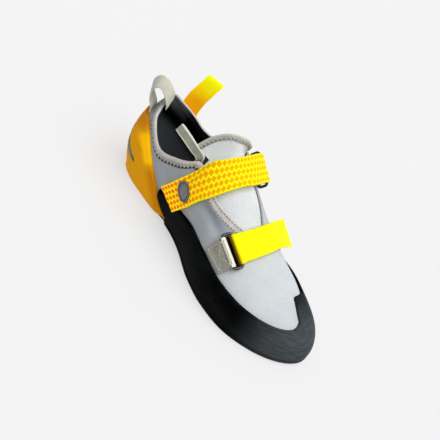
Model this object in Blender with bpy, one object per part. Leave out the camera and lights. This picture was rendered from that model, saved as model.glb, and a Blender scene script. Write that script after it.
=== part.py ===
"""Right climbing shoe with two straps.

Shoe millimetres: x from the heel to the toe, y to the medial side, z up from the floor.
Every piece is cut from one last surface, or draped on it.
"""
import bpy
import bmesh
import numpy as np

MM = 0.001
TINY = 1e-12
FEATHER_STEP = 0.001
ORIGIN = np.array([35.0, -1.0, 0.0])

# last: a row per section, feather point and top point of each side, millimetres
LAST_COLUMNS = ("name", "lat_x", "lat_y", "med_x", "med_y", "lat_tx", "lat_ty", "lat_tz",
                "med_tx", "med_ty", "med_tz", "lat_bulge", "med_bulge", "arch")
LAST_ROWS = (
    ("heel_back", 4.0, 0.0, 4.0, 0.0, 9.0, 1.0, 83.0, 9.0, 1.0, 83.0, 10.5, 10.5, 0.0),
    ("heel_corner", 11.0, -15.5, 11.0, 14.5, 14.0, -12.0, 73.0, 12.5, 14.0, 75.0, 8.5, 8.0, 0.0),
    ("heel_side", 29.0, -22.5, 29.0, 20.5, 25.0, -25.0, 69.0, 23.0, 25.0, 66.0, 3.5, 5.0, 0.0),
    ("ankle", 52.0, -24.0, 52.0, 21.5, 44.0, -28.0, 55.0, 42.0, 26.0, 63.5, 2.5, 5.0, 0.0),
    ("collar_front", 72.0, -24.5, 72.0, 22.0, 63.0, -25.5, 60.0, 60.0, 25.5, 69.0, 2.5, 5.0, 0.2),
    ("collar_corner", 87.0, -26.0, 87.0, 22.5, 81.0, -17.5, 72.0, 91.0, 28.5, 83.0, 4.0, 6.0, 0.5),
    ("instep_top", 102.0, -29.0, 102.0, 23.0, 94.0, 12.5, 92.0, 94.0, 12.5, 92.0, 5.0, 8.0, 1.0),
    ("instep", 123.0, -33.5, 123.0, 25.0, 112.0, 11.5, 82.0, 112.0, 11.5, 82.0, 4.0, 6.0, 1.0),
    ("waist", 146.0, -40.0, 146.0, 29.0, 137.0, 9.0, 68.0, 137.0, 9.0, 68.0, 3.0, 4.0, 1.0),
    ("ball", 172.0, -45.0, 172.0, 35.0, 164.0, 6.0, 53.5, 164.0, 6.0, 53.5, 2.0, 2.0, 1.0),
    ("toes", 202.0, -43.0, 203.0, 37.5, 192.0, 4.0, 42.0, 192.0, 4.0, 42.0, 1.5, 1.5, 1.0),
    ("toe_side", 229.0, -30.0, 230.0, 32.0, 213.0, 3.0, 35.0, 213.0, 3.0, 35.0, 1.0, 1.0, 1.0),
    ("toe_corner", 246.0, -13.5, 245.5, 19.5, 223.0, 3.0, 32.0, 223.0, 3.0, 32.0, 1.0, 1.0, 1.0),
    ("toe_tip", 252.0, 3.5, 252.0, 3.5, 226.0, 3.0, 31.0, 226.0, 3.0, 31.0, 1.0, 1.0, 1.0),
)
# cut lines on the last: rise of the heel cup and rand above the feather, drop of the collar edge below the top
EDGE_COLUMNS = ("name", "cup", "rand_lat", "rand_med", "edge_lat", "edge_med")
EDGE_ROWS = (
    ("heel_back", 55.0, 21.0, 21.0, 0.0, 0.0),
    ("heel_corner", 57.0, 21.0, 21.0, 0.0, 0.0),
    ("heel_side", 54.0, 21.0, 21.0, 0.0, 0.0),
    ("ankle", 33.0, 21.0, 21.0, 0.0, 0.0),
    ("collar_front", 11.0, 21.5, 21.0, 0.0, 0.0),
    ("collar_corner", 2.0, 22.0, 21.5, 0.0, 0.0),
    ("instep_top", 0.0, 24.0, 23.0, 37.0, 22.0),
    ("instep", 0.0, 28.0, 25.0, 38.5, 17.0),
    ("waist", 0.0, 29.0, 27.0, 27.0, 7.0),
    ("ball", 0.0, 26.0, 29.0, 9.0, 0.0),
    ("toes", 0.0, 24.5, 31.0, 0.0, 0.0),
    ("toe_side", 0.0, 24.0, 32.0, 0.0, 0.0),
    ("toe_corner", 0.0, 26.0, 32.5, 0.0, 0.0),
    ("toe_tip", 0.0, 32.0, 32.0, 0.0, 0.0),
)
ROWS = len(LAST_ROWS)
LOOP = 2 * (ROWS - 1)
FIRST_RIDGE = 6
THROAT_END = 9.0
FULLNESS = 0.9
WALL_POWER = 1.6
BULGE_POWER = 0.82
HEEL_BULGE_POWER = 1.1
HEEL_BULGE_END = 2.5
PROFILE_STEPS = 41
SUBROWS = 4
NORMAL_DT = 0.05
NORMAL_DH = 0.03

# lobe of the rand over the big toe, in section numbers and millimetres
LOBE_START = 10.3
LOBE_RAMP = 0.5
LOBE_PEAK = 10.85
LOBE_RISE = 12.0

# wall, gap and layer thicknesses
UPPER_WALL = 2.0
GAP = 0.35
RAND_WALL = 2.0
RAND_START = 3.75
BAND_COLUMNS = 5
BINDING_COLUMNS = 2
BINDING_PROUD = 0.5
BINDING_WIDTH = 7.5
BINDING_MEDIAL_END = 6.0
TONGUE_DEPTH = 2.9
TONGUE_WALL = 2.4
TONGUE_OVERLAP = 8.0
TONGUE_BINDING_WIDTH = 6.0

# sole: flat at heel and forefoot, lifted at the arch and the toe
SOLE_THICK = 4.0
SOLE_GAP = 0.3
SOLE_OUT = 2.4
SOLE_CHAMFER = 0.9
ARCH_START = 60.0
ARCH_END = 150.0
ARCH_LIFT = 5.0
SPRING_START = 215.0
SPRING_END = 252.0
SPRING_LIFT = 1.3
SPRING_REACH = 1.2
SOLE_COLUMNS = 2
INSOLE_IN = 2.9
INSOLE_THICK = 2.0

# heel cup: its wrap down over the outsole's side, which fades out along the loop
CUP_END = 5.0
CUP_LOW = 1.0
CUP_WRAP = 3.1
CUP_WRAP_START = 3.9
CUP_WRAP_END = 4.75
SOLE_OUT_RAMP = 0.5

# straps, tapes and rings
STRAP_WIDTH = 26.0
STRAP_THICK = 1.5
STRAP_LOW = 1.5
STRAP_COLUMNS = 4
WIRE = 1.25
WIRE_SIDES = 6
TAPE_THICK = 1.2
RING_REACH = 9.0
RING_SIDE = 1.8
RING_CORNER = 2.6
CORNER_POINTS = 4
BLEND_ROWS = 3
FOLD_ROWS = 6
LOOP_COLUMNS = 3


def last_column(name):
    index = LAST_COLUMNS.index(name)
    return np.array([row[index] for row in LAST_ROWS], float)


def edge_column(name):
    index = EDGE_COLUMNS.index(name)
    return np.array([row[index] for row in EDGE_ROWS], float)


def around(lateral, medial):
    """Row values as a closed loop: lateral heel to toe, then medial back to the heel."""
    return np.concatenate([lateral, medial[-2:0:-1]])


def spline(values, t):
    """Smooth curve through a closed loop of values, one unit of t per value."""
    count = len(values)
    i = np.floor(t).astype(int)
    u = t - i
    a, b, c, d = (values[(i + k) % count] for k in (-1, 0, 1, 2))
    return 0.5 * (2 * b + (c - a) * u + (2 * a - 5 * b + 4 * c - d) * u ** 2
                  + (3 * b - a - 3 * c + d) * u ** 3)


def open_spline(values, t):
    """Smooth curve through an open list of values, natural at both ends."""
    values = np.asarray(values, float)
    padded = np.concatenate([[2 * values[0] - values[1]], values, [2 * values[-1] - values[-2]]])
    t = np.clip(np.asarray(t, float), 0, len(values) - 1)
    i = np.minimum(np.floor(t).astype(int), len(values) - 2)
    u = t - i
    if padded.ndim > 1:
        u = u[:, None]
    a, b, c, d = (padded[i + k] for k in (0, 1, 2, 3))
    return 0.5 * (2 * b + (c - a) * u + (2 * a - 5 * b + 4 * c - d) * u ** 2
                  + (3 * b - a - 3 * c + d) * u ** 3)


def smooth_step(value):
    value = np.clip(value, 0, 1)
    return value * value * (3 - 2 * value)


def foot_z(x):
    """Height of the feather line: flat heel and forefoot, lifted arch, small toe spring."""
    x = np.asarray(x, float)
    u = np.clip((x - ARCH_START) / (ARCH_END - ARCH_START), 0, 1)
    v = np.clip((x - SPRING_START) / (SPRING_END - SPRING_START), 0, SPRING_REACH)
    return SOLE_THICK + SOLE_GAP + ARCH_LIFT * np.sin(np.pi * u) ** 2 + SPRING_LIFT * v ** 2


def section(t):
    """Section number of a loop parameter, 0 at the heel back and ROWS - 1 at the toe tip."""
    t = np.asarray(t, float) % LOOP
    return np.where(t > ROWS - 1, LOOP - t, t)


def is_medial(t):
    return np.asarray(t, float) % LOOP > ROWS - 1


RIDGE_X = last_column("lat_tx")[FIRST_RIDGE:]
RIDGE_Z = last_column("lat_tz")[FIRST_RIDGE:]
RIDGE_SLOPE = np.gradient(RIDGE_Z, RIDGE_X)
BOTTOM_X = around(last_column("lat_x"), last_column("med_x"))
BOTTOM_Y = around(last_column("lat_y"), last_column("med_y"))
BULGE = around(last_column("lat_bulge"), last_column("med_bulge"))
ARCH = around(last_column("arch"), last_column("arch"))
TOPS = tuple(around(last_column("lat_" + k), last_column("med_" + k)) for k in ("tx", "ty", "tz"))
RIDGES = tuple(last_column("lat_" + k)[FIRST_RIDGE:] for k in ("tx", "ty", "tz"))


def ridge_z(x):
    """Height of the instep line over x, carried on straight past both ends."""
    x = np.asarray(x, float)
    i = np.clip(np.searchsorted(RIDGE_X, x) - 1, 0, len(RIDGE_X) - 2)
    gap = RIDGE_X[i + 1] - RIDGE_X[i]
    u = np.clip((x - RIDGE_X[i]) / gap, 0, 1)
    z = ((2 * u ** 3 - 3 * u ** 2 + 1) * RIDGE_Z[i] + (u ** 3 - 2 * u ** 2 + u) * gap * RIDGE_SLOPE[i]
         + (3 * u ** 2 - 2 * u ** 3) * RIDGE_Z[i + 1] + (u ** 3 - u ** 2) * gap * RIDGE_SLOPE[i + 1])
    z = np.where(x < RIDGE_X[0], RIDGE_Z[0] + RIDGE_SLOPE[0] * (x - RIDGE_X[0]), z)
    return np.where(x > RIDGE_X[-1], RIDGE_Z[-1] + RIDGE_SLOPE[-1] * (x - RIDGE_X[-1]), z)


def top_line(t):
    """Collar line for the rear sections, ridge line for the arched ones."""
    s = section(t)
    on_ridge = s >= FIRST_RIDGE
    out = []
    for loop, ridge in zip(TOPS, RIDGES):
        mirrored = np.concatenate([[2 * ridge[0] - ridge[1]], ridge, [ridge[-2], ridge[-3]]])
        along = np.where(on_ridge, s - FIRST_RIDGE + 1, 1.0)
        out.append(np.where(on_ridge, spline(mirrored, along), spline(loop, np.asarray(t, float) % LOOP)))
    return out


def feather(t):
    """Feather line and its outward direction in plan."""
    t = np.asarray(t, float) % LOOP
    dx = spline(BOTTOM_X, t + FEATHER_STEP) - spline(BOTTOM_X, t - FEATHER_STEP)
    dy = spline(BOTTOM_Y, t + FEATHER_STEP) - spline(BOTTOM_Y, t - FEATHER_STEP)
    size = np.hypot(dx, dy)
    return spline(BOTTOM_X, t), spline(BOTTOM_Y, t), dy / size, -dx / size


def bulge_power(t):
    """Power that sets the height of the wall's fullest place, higher up round the heel."""
    share = smooth_step(1 - section(t) / HEEL_BULGE_END)
    return BULGE_POWER + (HEEL_BULGE_POWER - BULGE_POWER) * share


def profiles(t):
    """Section curves from the feather to the top, and their running lengths."""
    t = np.asarray(t, float) % LOOP
    bx, by, nx, ny = (v[:, None] for v in feather(t))
    tx, ty, tz = (v[:, None] for v in top_line(t))
    bz = foot_z(bx)
    bulge = spline(BULGE, t)[:, None]
    arch = np.clip(spline(ARCH, t), 0, 1)[:, None]
    h = np.linspace(0, 1, PROFILE_STEPS)[None, :]
    angle = h * np.pi / 2
    u = arch * (1 - np.cos(angle) ** FULLNESS) + (1 - arch) * h ** WALL_POWER
    w = arch * np.sin(angle) ** FULLNESS + (1 - arch) * h
    swell = bulge * np.sin(np.pi * h ** bulge_power(t)[:, None])
    x = bx + (tx - bx) * u + nx * swell
    y = by + (ty - by) * u + ny * swell
    top = tz + arch * (ridge_z(x) - ridge_z(tx))
    z = bz + (top - bz) * w
    points = np.stack([x, y, z], -1)
    steps = np.linalg.norm(np.diff(points, axis=1), axis=2)
    run = np.concatenate([np.zeros((len(t), 1)), np.cumsum(steps, 1)], 1)
    return points, run


def last_points(t, share):
    """Points at loop parameters t (rows) and shares of the section length (rows, columns)."""
    points, run = profiles(t)
    out = np.empty(share.shape + (3,))
    for i in range(len(t)):
        for c in range(3):
            out[i, :, c] = np.interp(share[i] * run[i, -1], run[i], points[i, :, c])
    return out


def last_length(t):
    return profiles(np.atleast_1d(t))[1][:, -1]


def last_grid(t, share):
    """Points and outward unit normals on the last."""
    points = last_points(t, share)
    low = np.clip(share - NORMAL_DH, 0, 1)
    high = np.clip(share + NORMAL_DH, 0, 1)
    along = last_points(t + NORMAL_DT, share) - last_points(t - NORMAL_DT, share)
    rise = last_points(t, high) - last_points(t, low)
    normal = np.cross(along, rise)
    normal /= np.linalg.norm(normal, axis=2, keepdims=True)
    return points, normal


def join_ridge(t, points, normals):
    """Makes the last column of mirrored rows past the throat meet on the ridge."""
    s = section(t)
    for i in range(len(t)):
        twin = int(np.argmin(np.abs((t % LOOP) - (LOOP - t[i]) % LOOP)))
        if s[i] >= THROAT_END and twin >= i:
            middle = (points[i, -1] + points[twin, -1]) / 2
            mean = normals[i, -1] + normals[twin, -1]
            mean /= np.linalg.norm(mean)
            points[i, -1] = points[twin, -1] = middle
            normals[i, -1] = normals[twin, -1] = mean


def cup_rise(t):
    value = edge_column("cup")
    return np.maximum(spline(around(value, value), np.asarray(t, float) % LOOP), 0)


def rand_rise(t):
    base = spline(around(edge_column("rand_lat"), edge_column("rand_med")), np.asarray(t, float) % LOOP)
    s = section(t)
    ramp = smooth_step((s - LOBE_START) / LOBE_RAMP)
    fade = np.clip((ROWS - 1 - s) / (ROWS - 1 - LOBE_PEAK), 0, 1)
    return base + np.where(is_medial(t), LOBE_RISE * ramp * fade, 0)


def edge_drop(t):
    value = spline(around(edge_column("edge_lat"), edge_column("edge_med")), np.asarray(t, float) % LOOP)
    s = section(t)
    return np.where((s > FIRST_RIDGE - 1) & (s < THROAT_END), np.maximum(value, 0), 0)


def row_steps(first, last):
    """Loop parameters from first to last, a row apart."""
    return first + np.arange(int(round((last - first) * SUBROWS)) + 1) / SUBROWS


def between(low, high, columns):
    """Row-wise even steps from low to high."""
    return low[:, None] + (high - low)[:, None] * np.linspace(0, 1, columns)[None, :]


def unit(v):
    return v / np.maximum(np.linalg.norm(v, axis=-1, keepdims=True), TINY)


def quads(index, closed=False, flip=False):
    """Faces of a grid of vertex numbers."""
    faces = []
    rows, columns = index.shape
    for i in range(rows if closed else rows - 1):
        k = (i + 1) % rows
        for j in range(columns - 1):
            face = [index[i, j], index[k, j], index[k, j + 1], index[i, j + 1]]
            face = [v for n, v in enumerate(face) if v != face[n - 1]]
            if len(face) > 2:
                faces.append(face[::-1] if flip else face)
    return faces


def mesh_normals(points, faces):
    """Vertex normals from the faces around each vertex."""
    normal = np.zeros_like(points)
    for face in faces:
        p = points[face]
        size = np.zeros(3)
        for k in range(1, len(face) - 1):
            size = size + np.cross(p[k] - p[0], p[k + 1] - p[0])
        normal[face] += size
    return unit(normal)


def sheet_solid(points, normals, faces, outward, inward):
    """Closed solid between two offsets of a sheet."""
    count = len(points)
    outer = points + normals * outward
    inner = points - normals * inward
    solid = [list(f) for f in faces] + [[v + count for v in f[::-1]] for f in faces]
    used = set()
    for face in faces:
        for n, v in enumerate(face):
            used.add((face[n - 1], v))
    for a, b in sorted(used):
        if (b, a) not in used:
            solid.append([b, a, a + count, b + count])
    return np.concatenate([outer, inner]), solid


def add_piece(name, points, faces, colour, roughness, metallic=0.0):
    """Names a closed mesh, gives it a material and puts it in the scene."""
    mesh = bpy.data.meshes.new(name)
    mesh.from_pydata([tuple((p - ORIGIN) * MM) for p in points], [], [tuple(int(v) for v in f) for f in faces])
    work = bmesh.new()
    work.from_mesh(mesh)
    loose = [v for v in work.verts if not v.link_faces]
    bmesh.ops.delete(work, geom=loose, context="VERTS")
    bmesh.ops.triangulate(work, faces=work.faces[:])
    bmesh.ops.recalc_face_normals(work, faces=work.faces[:])
    work.to_mesh(mesh)
    work.free()
    material = bpy.data.materials.new(name + "_mat")
    material.use_nodes = True
    shader = material.node_tree.nodes["Principled BSDF"]
    shader.inputs["Base Color"].default_value = colour + (1.0,)
    shader.inputs["Roughness"].default_value = roughness
    shader.inputs["Metallic"].default_value = metallic
    mesh.materials.append(material)
    piece = bpy.data.objects.new(name, mesh)
    bpy.context.scene.collection.objects.link(piece)


def strip_grid(t, low, high, columns):
    """Points and normals of a strip of the last between two rises; its rows match those of the upper."""
    length = last_length(t)
    even = between(np.zeros(len(t)), high / length, columns)
    share = np.where((low < high / columns)[:, None], even, between(low / length, high / length, columns))
    share[:, 0] = low / length
    return last_grid(t, share)


def strip_solid(points, normals, outward, inward):
    index = np.arange(points.shape[0] * points.shape[1]).reshape(points.shape[:2])
    return sheet_solid(points.reshape(-1, 3), normals.reshape(-1, 3), quads(index), outward, inward)


def strip_piece(name, t, low, high, columns, outward, inward, look):
    """Open strip of the last as a solid, kept above the feather's height."""
    body = strip_solid(*strip_grid(t, low, high, columns), outward, inward)
    body[0][:, 2] = np.maximum(body[0][:, 2], foot_z(body[0][:, 0]))
    add_piece(name, body[0], body[1], *look)


def ribbon_piece(name, middle, thickness, look):
    """Solid tape about a grid of middle points."""
    index = np.arange(middle.shape[0] * middle.shape[1]).reshape(middle.shape[:2])
    faces = quads(index)
    points = middle.reshape(-1, 3)
    along = np.gradient(middle, axis=0)
    across = np.gradient(middle, axis=1)
    normal = unit(np.cross(along, across)).reshape(-1, 3)
    body = sheet_solid(points, normal, faces, thickness / 2, thickness / 2)
    add_piece(name, body[0], body[1], *look)


def tube_piece(name, path, radius, look):
    """Closed ring of round wire along a flat closed path."""
    after = np.roll(path, -1, axis=0)
    before = np.roll(path, 1, axis=0)
    tangent = unit(after - before)
    centre = path.mean(axis=0)
    flat = unit(np.cross(path[1] - centre, path[0] - centre))
    side = np.cross(tangent, flat)
    points = []
    for k in range(WIRE_SIDES):
        angle = 2 * np.pi * k / WIRE_SIDES
        points.append(path + radius * (np.cos(angle) * side + np.sin(angle) * flat))
    grid = np.stack(points, 1)
    index = np.arange(grid.shape[0] * WIRE_SIDES).reshape(-1, WIRE_SIDES)
    index = np.concatenate([index, index[:, :1]], 1)
    add_piece(name, grid.reshape(-1, 3), quads(index, closed=True), *look)


DENSE_SUBROWS = 16
DENSE_LOW = 0.05
DENSE_COLUMNS = 60
DENSE_T = np.arange(0, LOOP * DENSE_SUBROWS) / DENSE_SUBROWS
DENSE_SHARE = np.tile(np.linspace(DENSE_LOW, 1, DENSE_COLUMNS), (len(DENSE_T), 1))
DENSE_POINTS, DENSE_NORMALS = (v.reshape(-1, 3) for v in last_grid(DENSE_T, DENSE_SHARE))
DRAPE_PASSES = 3


def drape(grid, offset):
    """Moves points along the last's normals to a given height above it."""
    out = grid.reshape(-1, 3).copy()
    for _ in range(DRAPE_PASSES):
        for n, p in enumerate(out):
            near = int(np.argmin(((DENSE_POINTS - p) ** 2).sum(1)))
            normal = DENSE_NORMALS[near]
            out[n] = p + normal * (offset - (p - DENSE_POINTS[near]) @ normal)
    return out.reshape(grid.shape)


def ruled(stations, rows):
    """Grid of points across a tape, from stations of its two edges."""
    edges = np.array(stations, float)
    at = np.linspace(0, len(edges) - 1, rows)
    first = open_spline(edges[:, :3], at)
    second = open_spline(edges[:, 3:], at)
    share = np.linspace(0, 1, STRAP_COLUMNS)[None, :, None]
    return first[:, None, :] * (1 - share) + second[:, None, :] * share


def blend(start, end, start_way, end_way, rows):
    """Rows of a smooth curve between two lines of points, ends left out."""
    u = np.linspace(0, 1, rows + 2)[1:-1, None, None]
    size = np.linalg.norm(end - start, axis=-1, keepdims=True)[None]
    return ((2 * u ** 3 - 3 * u ** 2 + 1) * start + (u ** 3 - 2 * u ** 2 + u) * size * start_way
            + (3 * u ** 2 - 2 * u ** 3) * end + (u ** 3 - u ** 2) * size * end_way)


def folded(inner, outer, bar, way, lift, radius):
    """Tape that runs up its inner rows, round a bar, and back down its outer rows."""
    angle = np.linspace(np.pi, 0, FOLD_ROWS)[:, None, None]
    turn = bar[None] + radius * (np.cos(angle) * lift + np.sin(angle) * way)
    first = blend(inner[-1], turn[0], unit(inner[-1] - inner[-2]), np.broadcast_to(way, bar.shape), BLEND_ROWS)
    second = blend(turn[-1], outer[0], np.broadcast_to(-way, bar.shape), unit(outer[1] - outer[0]), BLEND_ROWS)
    return np.concatenate([inner, first, turn, second, outer])


def ring_path(bar_a, bar_b, across):
    """Rounded rectangle of points round two parallel bars, given their middles."""
    reach = np.linalg.norm(bar_b - bar_a)
    along = (bar_b - bar_a) / reach
    centre = (bar_a + bar_b) / 2
    half_across = STRAP_WIDTH / 2 + RING_SIDE
    half_along = reach / 2
    path = []
    for sx, sy, start in ((1, 1, 0), (-1, 1, 1), (-1, -1, 2), (1, -1, 3)):
        for k in range(CORNER_POINTS):
            angle = (start + k / (CORNER_POINTS - 1)) * np.pi / 2
            u = sx * (half_across - RING_CORNER) + RING_CORNER * np.cos(angle)
            v = sy * (half_along - RING_CORNER) + RING_CORNER * np.sin(angle)
            path.append(centre + across * u + along * v)
    return np.array(path)


for old in list(bpy.data.objects):
    bpy.data.objects.remove(old, do_unlink=True)

KNIT = ((0.62, 0.65, 0.69), 0.85)
KNIT_TONGUE = ((0.64, 0.66, 0.69), 0.88)
BEIGE = ((0.36, 0.34, 0.29), 0.8)
BLACK = ((0.018, 0.019, 0.02), 0.5)
AMBER = ((0.80, 0.36, 0.012), 0.45)
ORANGE = ((0.90, 0.48, 0.02), 0.7)
YELLOW = ((0.95, 0.80, 0.0), 0.65)
STEEL = ((0.42, 0.42, 0.40), 0.35, 1.0)
BOARD = ((0.05, 0.05, 0.055), 0.9)

ALL_T = np.arange(0, LOOP * SUBROWS) / SUBROWS

# outsole and insole


def plate(name, loop_t, outline_out, low, high, chamfer, look):
    """Plate under the foot: its outline follows the feather line, its faces follow foot_z."""
    x, y, nx, ny = feather(loop_t)
    x = x + nx * outline_out
    y = y + ny * outline_out
    half = len(loop_t) // 2
    faces = []
    points = []
    levels = ((high, 0.0), (low + chamfer, 0.0), (low, chamfer)) if chamfer else ((high, 0.0), (low, 0.0))
    for level, inset in levels:
        rx = x - nx * inset
        ry = y - ny * inset
        points.append(np.stack([rx, ry, foot_z(rx) + level], -1))
    count = len(loop_t)
    for k in range(len(levels) - 1):
        for i in range(count):
            j = (i + 1) % count
            faces.append([k * count + i, (k + 1) * count + i, (k + 1) * count + j, k * count + j])
    points = list(np.concatenate(points))
    for ring, level, flip in ((0, high, False), (len(levels) - 1, low, True)):
        rows = []
        for i in range(half + 1):
            a = ring * count + i
            b = ring * count + (count - i) % count
            if a == b:
                rows.append([a] * (SOLE_COLUMNS + 1))
                continue
            row = [a]
            for c in range(1, SOLE_COLUMNS):
                p = points[a] + (points[b] - points[a]) * c / SOLE_COLUMNS
                points.append(np.array([p[0], p[1], float(foot_z(p[0])) + level]))
                row.append(len(points) - 1)
            rows.append(row + [b])
        for i in range(half):
            for c in range(SOLE_COLUMNS):
                face = [rows[i][c], rows[i + 1][c], rows[i + 1][c + 1], rows[i][c + 1]]
                face = list(dict.fromkeys(face))
                if len(face) > 2:
                    faces.append(face[::-1] if flip else face)
    add_piece(name, np.array(points), faces, *look)


# no reach past the feather under the heel cup, which wraps down over the outsole's side
sole_reach = SOLE_OUT * smooth_step((section(ALL_T) - CUP_WRAP_END) / SOLE_OUT_RAMP)
plate("outsole", ALL_T, sole_reach, -SOLE_GAP - SOLE_THICK, -SOLE_GAP, SOLE_CHAMFER, BLACK)
plate("insole", ALL_T[::2], -INSOLE_IN, SOLE_GAP, SOLE_GAP + INSOLE_THICK, 0.0, BOARD)

# upper

UPPER_COLUMNS = 2 * BAND_COLUMNS - 1
band_top = np.where(section(ALL_T) < RAND_START, cup_rise(ALL_T), rand_rise(ALL_T))
upper_length = last_length(ALL_T)
ends_low = section(ALL_T) < THROAT_END
bound = ends_low & ~(is_medial(ALL_T) & (section(ALL_T) > BINDING_MEDIAL_END))
upper_top = 1 - (edge_drop(ALL_T) + np.where(bound, BINDING_WIDTH + GAP, 0)) / upper_length
low_share = between(np.zeros(len(ALL_T)), band_top / upper_length, BAND_COLUMNS)
high_share = between(band_top / upper_length, upper_top, BAND_COLUMNS)
upper_points, upper_normals = last_grid(ALL_T, np.concatenate([low_share, high_share[:, 1:]], 1))
join_ridge(ALL_T, upper_points, upper_normals)
upper_index = np.arange(upper_points.shape[0] * UPPER_COLUMNS).reshape(-1, UPPER_COLUMNS)
for i in range(len(ALL_T) // 2 + 1, len(ALL_T)):
    if not ends_low[i]:
        upper_index[i, -1] = upper_index[len(ALL_T) - i, -1]
upper_body = sheet_solid(upper_points.reshape(-1, 3), upper_normals.reshape(-1, 3),
                         quads(upper_index, closed=True), 0.0, UPPER_WALL)
add_piece("upper", upper_body[0], upper_body[1], *KNIT)

# bands on the upper: collar and throat binding, rand, heel cup

BINDING_T = row_steps(LOOP - BINDING_MEDIAL_END, LOOP + THROAT_END - 1 / SUBROWS)
binding_top = last_length(BINDING_T) - edge_drop(BINDING_T)
strip_piece("collar_binding", BINDING_T, binding_top - BINDING_WIDTH, binding_top, BINDING_COLUMNS,
            BINDING_PROUD, UPPER_WALL + BINDING_PROUD, BEIGE)

CUP_T = row_steps(LOOP - CUP_END, LOOP + CUP_END)
cup_points, cup_normals = strip_grid(CUP_T, np.full(len(CUP_T), CUP_LOW), cup_rise(CUP_T), BAND_COLUMNS)
cup_x, cup_y, cup_nx, cup_ny = feather(CUP_T)
level_out = np.stack([cup_nx, cup_ny, np.zeros(len(CUP_T))], -1)
wrap = 1 - smooth_step((section(CUP_T) - CUP_WRAP_START) / (CUP_WRAP_END - CUP_WRAP_START))
skirt = np.stack([cup_x, cup_y, foot_z(cup_x) + GAP - (GAP + CUP_WRAP) * wrap], -1)
cup_normals[:, 0] = level_out
cup_body = strip_solid(np.concatenate([skirt[:, None], cup_points], 1),
                       np.concatenate([level_out[:, None], cup_normals], 1), GAP + RAND_WALL, -GAP)
add_piece("heel_cup", cup_body[0], cup_body[1], *AMBER)

RAND_MIN = 1.0
RAND_T = row_steps(RAND_START, LOOP - RAND_START)
rand_low = np.where(section(RAND_T) <= CUP_END, cup_rise(RAND_T) + GAP, GAP)
rand_low = np.minimum(rand_low, rand_rise(RAND_T) - RAND_MIN)
strip_piece("rand", RAND_T, rand_low, rand_rise(RAND_T), BAND_COLUMNS, GAP + RAND_WALL, -GAP, BLACK)

# tongue: sheet under the throat, carried up to its own top edge

# the tongue's top edge, lateral to medial: x, y, z
TONGUE_TOP = (
    (67.0, -14.0, 76.0),
    (70.0, -4.0, 87.0),
    (76.0, 3.0, 95.0),
    (82.0, 10.0, 98.8),
    (88.0, 18.0, 98.3),
    (91.0, 22.8, 95.3),
    (92.0, 27.3, 90.7),
)
TONGUE_FIRST_LATERAL = 5.25
TONGUE_FIRST_MEDIAL = 5.0
TONGUE_LAST = 9.25
TONGUE_COLUMNS = 6
TONGUE_FLAP_ROWS = 3
TONGUE_BAND_ROWS = 3

sides = []
for tongue_t in (row_steps(TONGUE_FIRST_LATERAL, TONGUE_LAST), LOOP - row_steps(TONGUE_FIRST_MEDIAL, TONGUE_LAST)):
    side_length = last_length(tongue_t)
    side_low = 1 - (edge_drop(tongue_t) + BINDING_WIDTH + GAP + TONGUE_OVERLAP) / side_length
    sides.append(last_grid(tongue_t, between(side_low, np.ones(len(tongue_t)), TONGUE_COLUMNS)))
(lat_points, lat_normals), (med_points, med_normals) = sides
lat_lips = int(round((FIRST_RIDGE - TONGUE_FIRST_LATERAL) * SUBROWS))
med_lips = int(round((FIRST_RIDGE - TONGUE_FIRST_MEDIAL) * SUBROWS))
mean = unit(lat_normals[lat_lips:, -1] + med_normals[med_lips:, -1])
lat_normals[lat_lips:, -1] = mean
med_normals[med_lips:, -1] = mean
lat_sheet = lat_points - lat_normals * TONGUE_DEPTH
med_sheet = med_points - med_normals * TONGUE_DEPTH
lat_index = np.arange(lat_sheet.shape[0] * TONGUE_COLUMNS).reshape(-1, TONGUE_COLUMNS)
med_index = lat_index.size + np.arange(med_sheet.shape[0] * TONGUE_COLUMNS).reshape(-1, TONGUE_COLUMNS)
med_index[med_lips:, -1] = lat_index[lat_lips:, -1]
lip_index = np.concatenate([lat_index[:lat_lips + 1, -1], med_index[:med_lips, -1][::-1]])
tongue_points = np.concatenate([lat_sheet.reshape(-1, 3), med_sheet.reshape(-1, 3)])
lip = tongue_points[lip_index]
rim = open_spline(TONGUE_TOP, np.linspace(0, len(TONGUE_TOP) - 1, len(lip_index)))
reach = np.linalg.norm(rim - lip, axis=1)[:, None]
cut = 1 - (TONGUE_BINDING_WIDTH + 2 * GAP) / reach
flap_rows = [lip + (rim - lip) * cut * k / TONGUE_FLAP_ROWS for k in range(1, TONGUE_FLAP_ROWS + 1)]
flap_index = len(tongue_points) + np.arange(TONGUE_FLAP_ROWS * len(lip_index)).reshape(TONGUE_FLAP_ROWS, -1)
tongue_points = np.concatenate([tongue_points] + flap_rows)
tongue_faces = quads(lat_index) + quads(med_index, flip=True)
tongue_faces += quads(np.concatenate([lip_index[None], flap_index]), flip=True)
tongue_body = sheet_solid(tongue_points, mesh_normals(tongue_points, tongue_faces), tongue_faces, 0.0, TONGUE_WALL)
add_piece("tongue", tongue_body[0], tongue_body[1], *KNIT_TONGUE)

band_low = 1 - TONGUE_BINDING_WIDTH / reach
band_steps = np.linspace(0, 1, TONGUE_BAND_ROWS)
band = np.stack([lip + (rim - lip) * (band_low + (1 - band_low) * k) for k in band_steps])
band_index = np.arange(band.shape[0] * band.shape[1]).reshape(band.shape[:2])
band_faces = quads(band_index, flip=True)
band_points = band.reshape(-1, 3)
band_body = sheet_solid(band_points, mesh_normals(band_points, band_faces), band_faces,
                        BINDING_PROUD, TONGUE_WALL + BINDING_PROUD)
add_piece("tongue_binding", band_body[0], band_body[1], *BEIGE)

# upper strap: up the lateral side, over the instep, round the medial ring and back over itself

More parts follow.
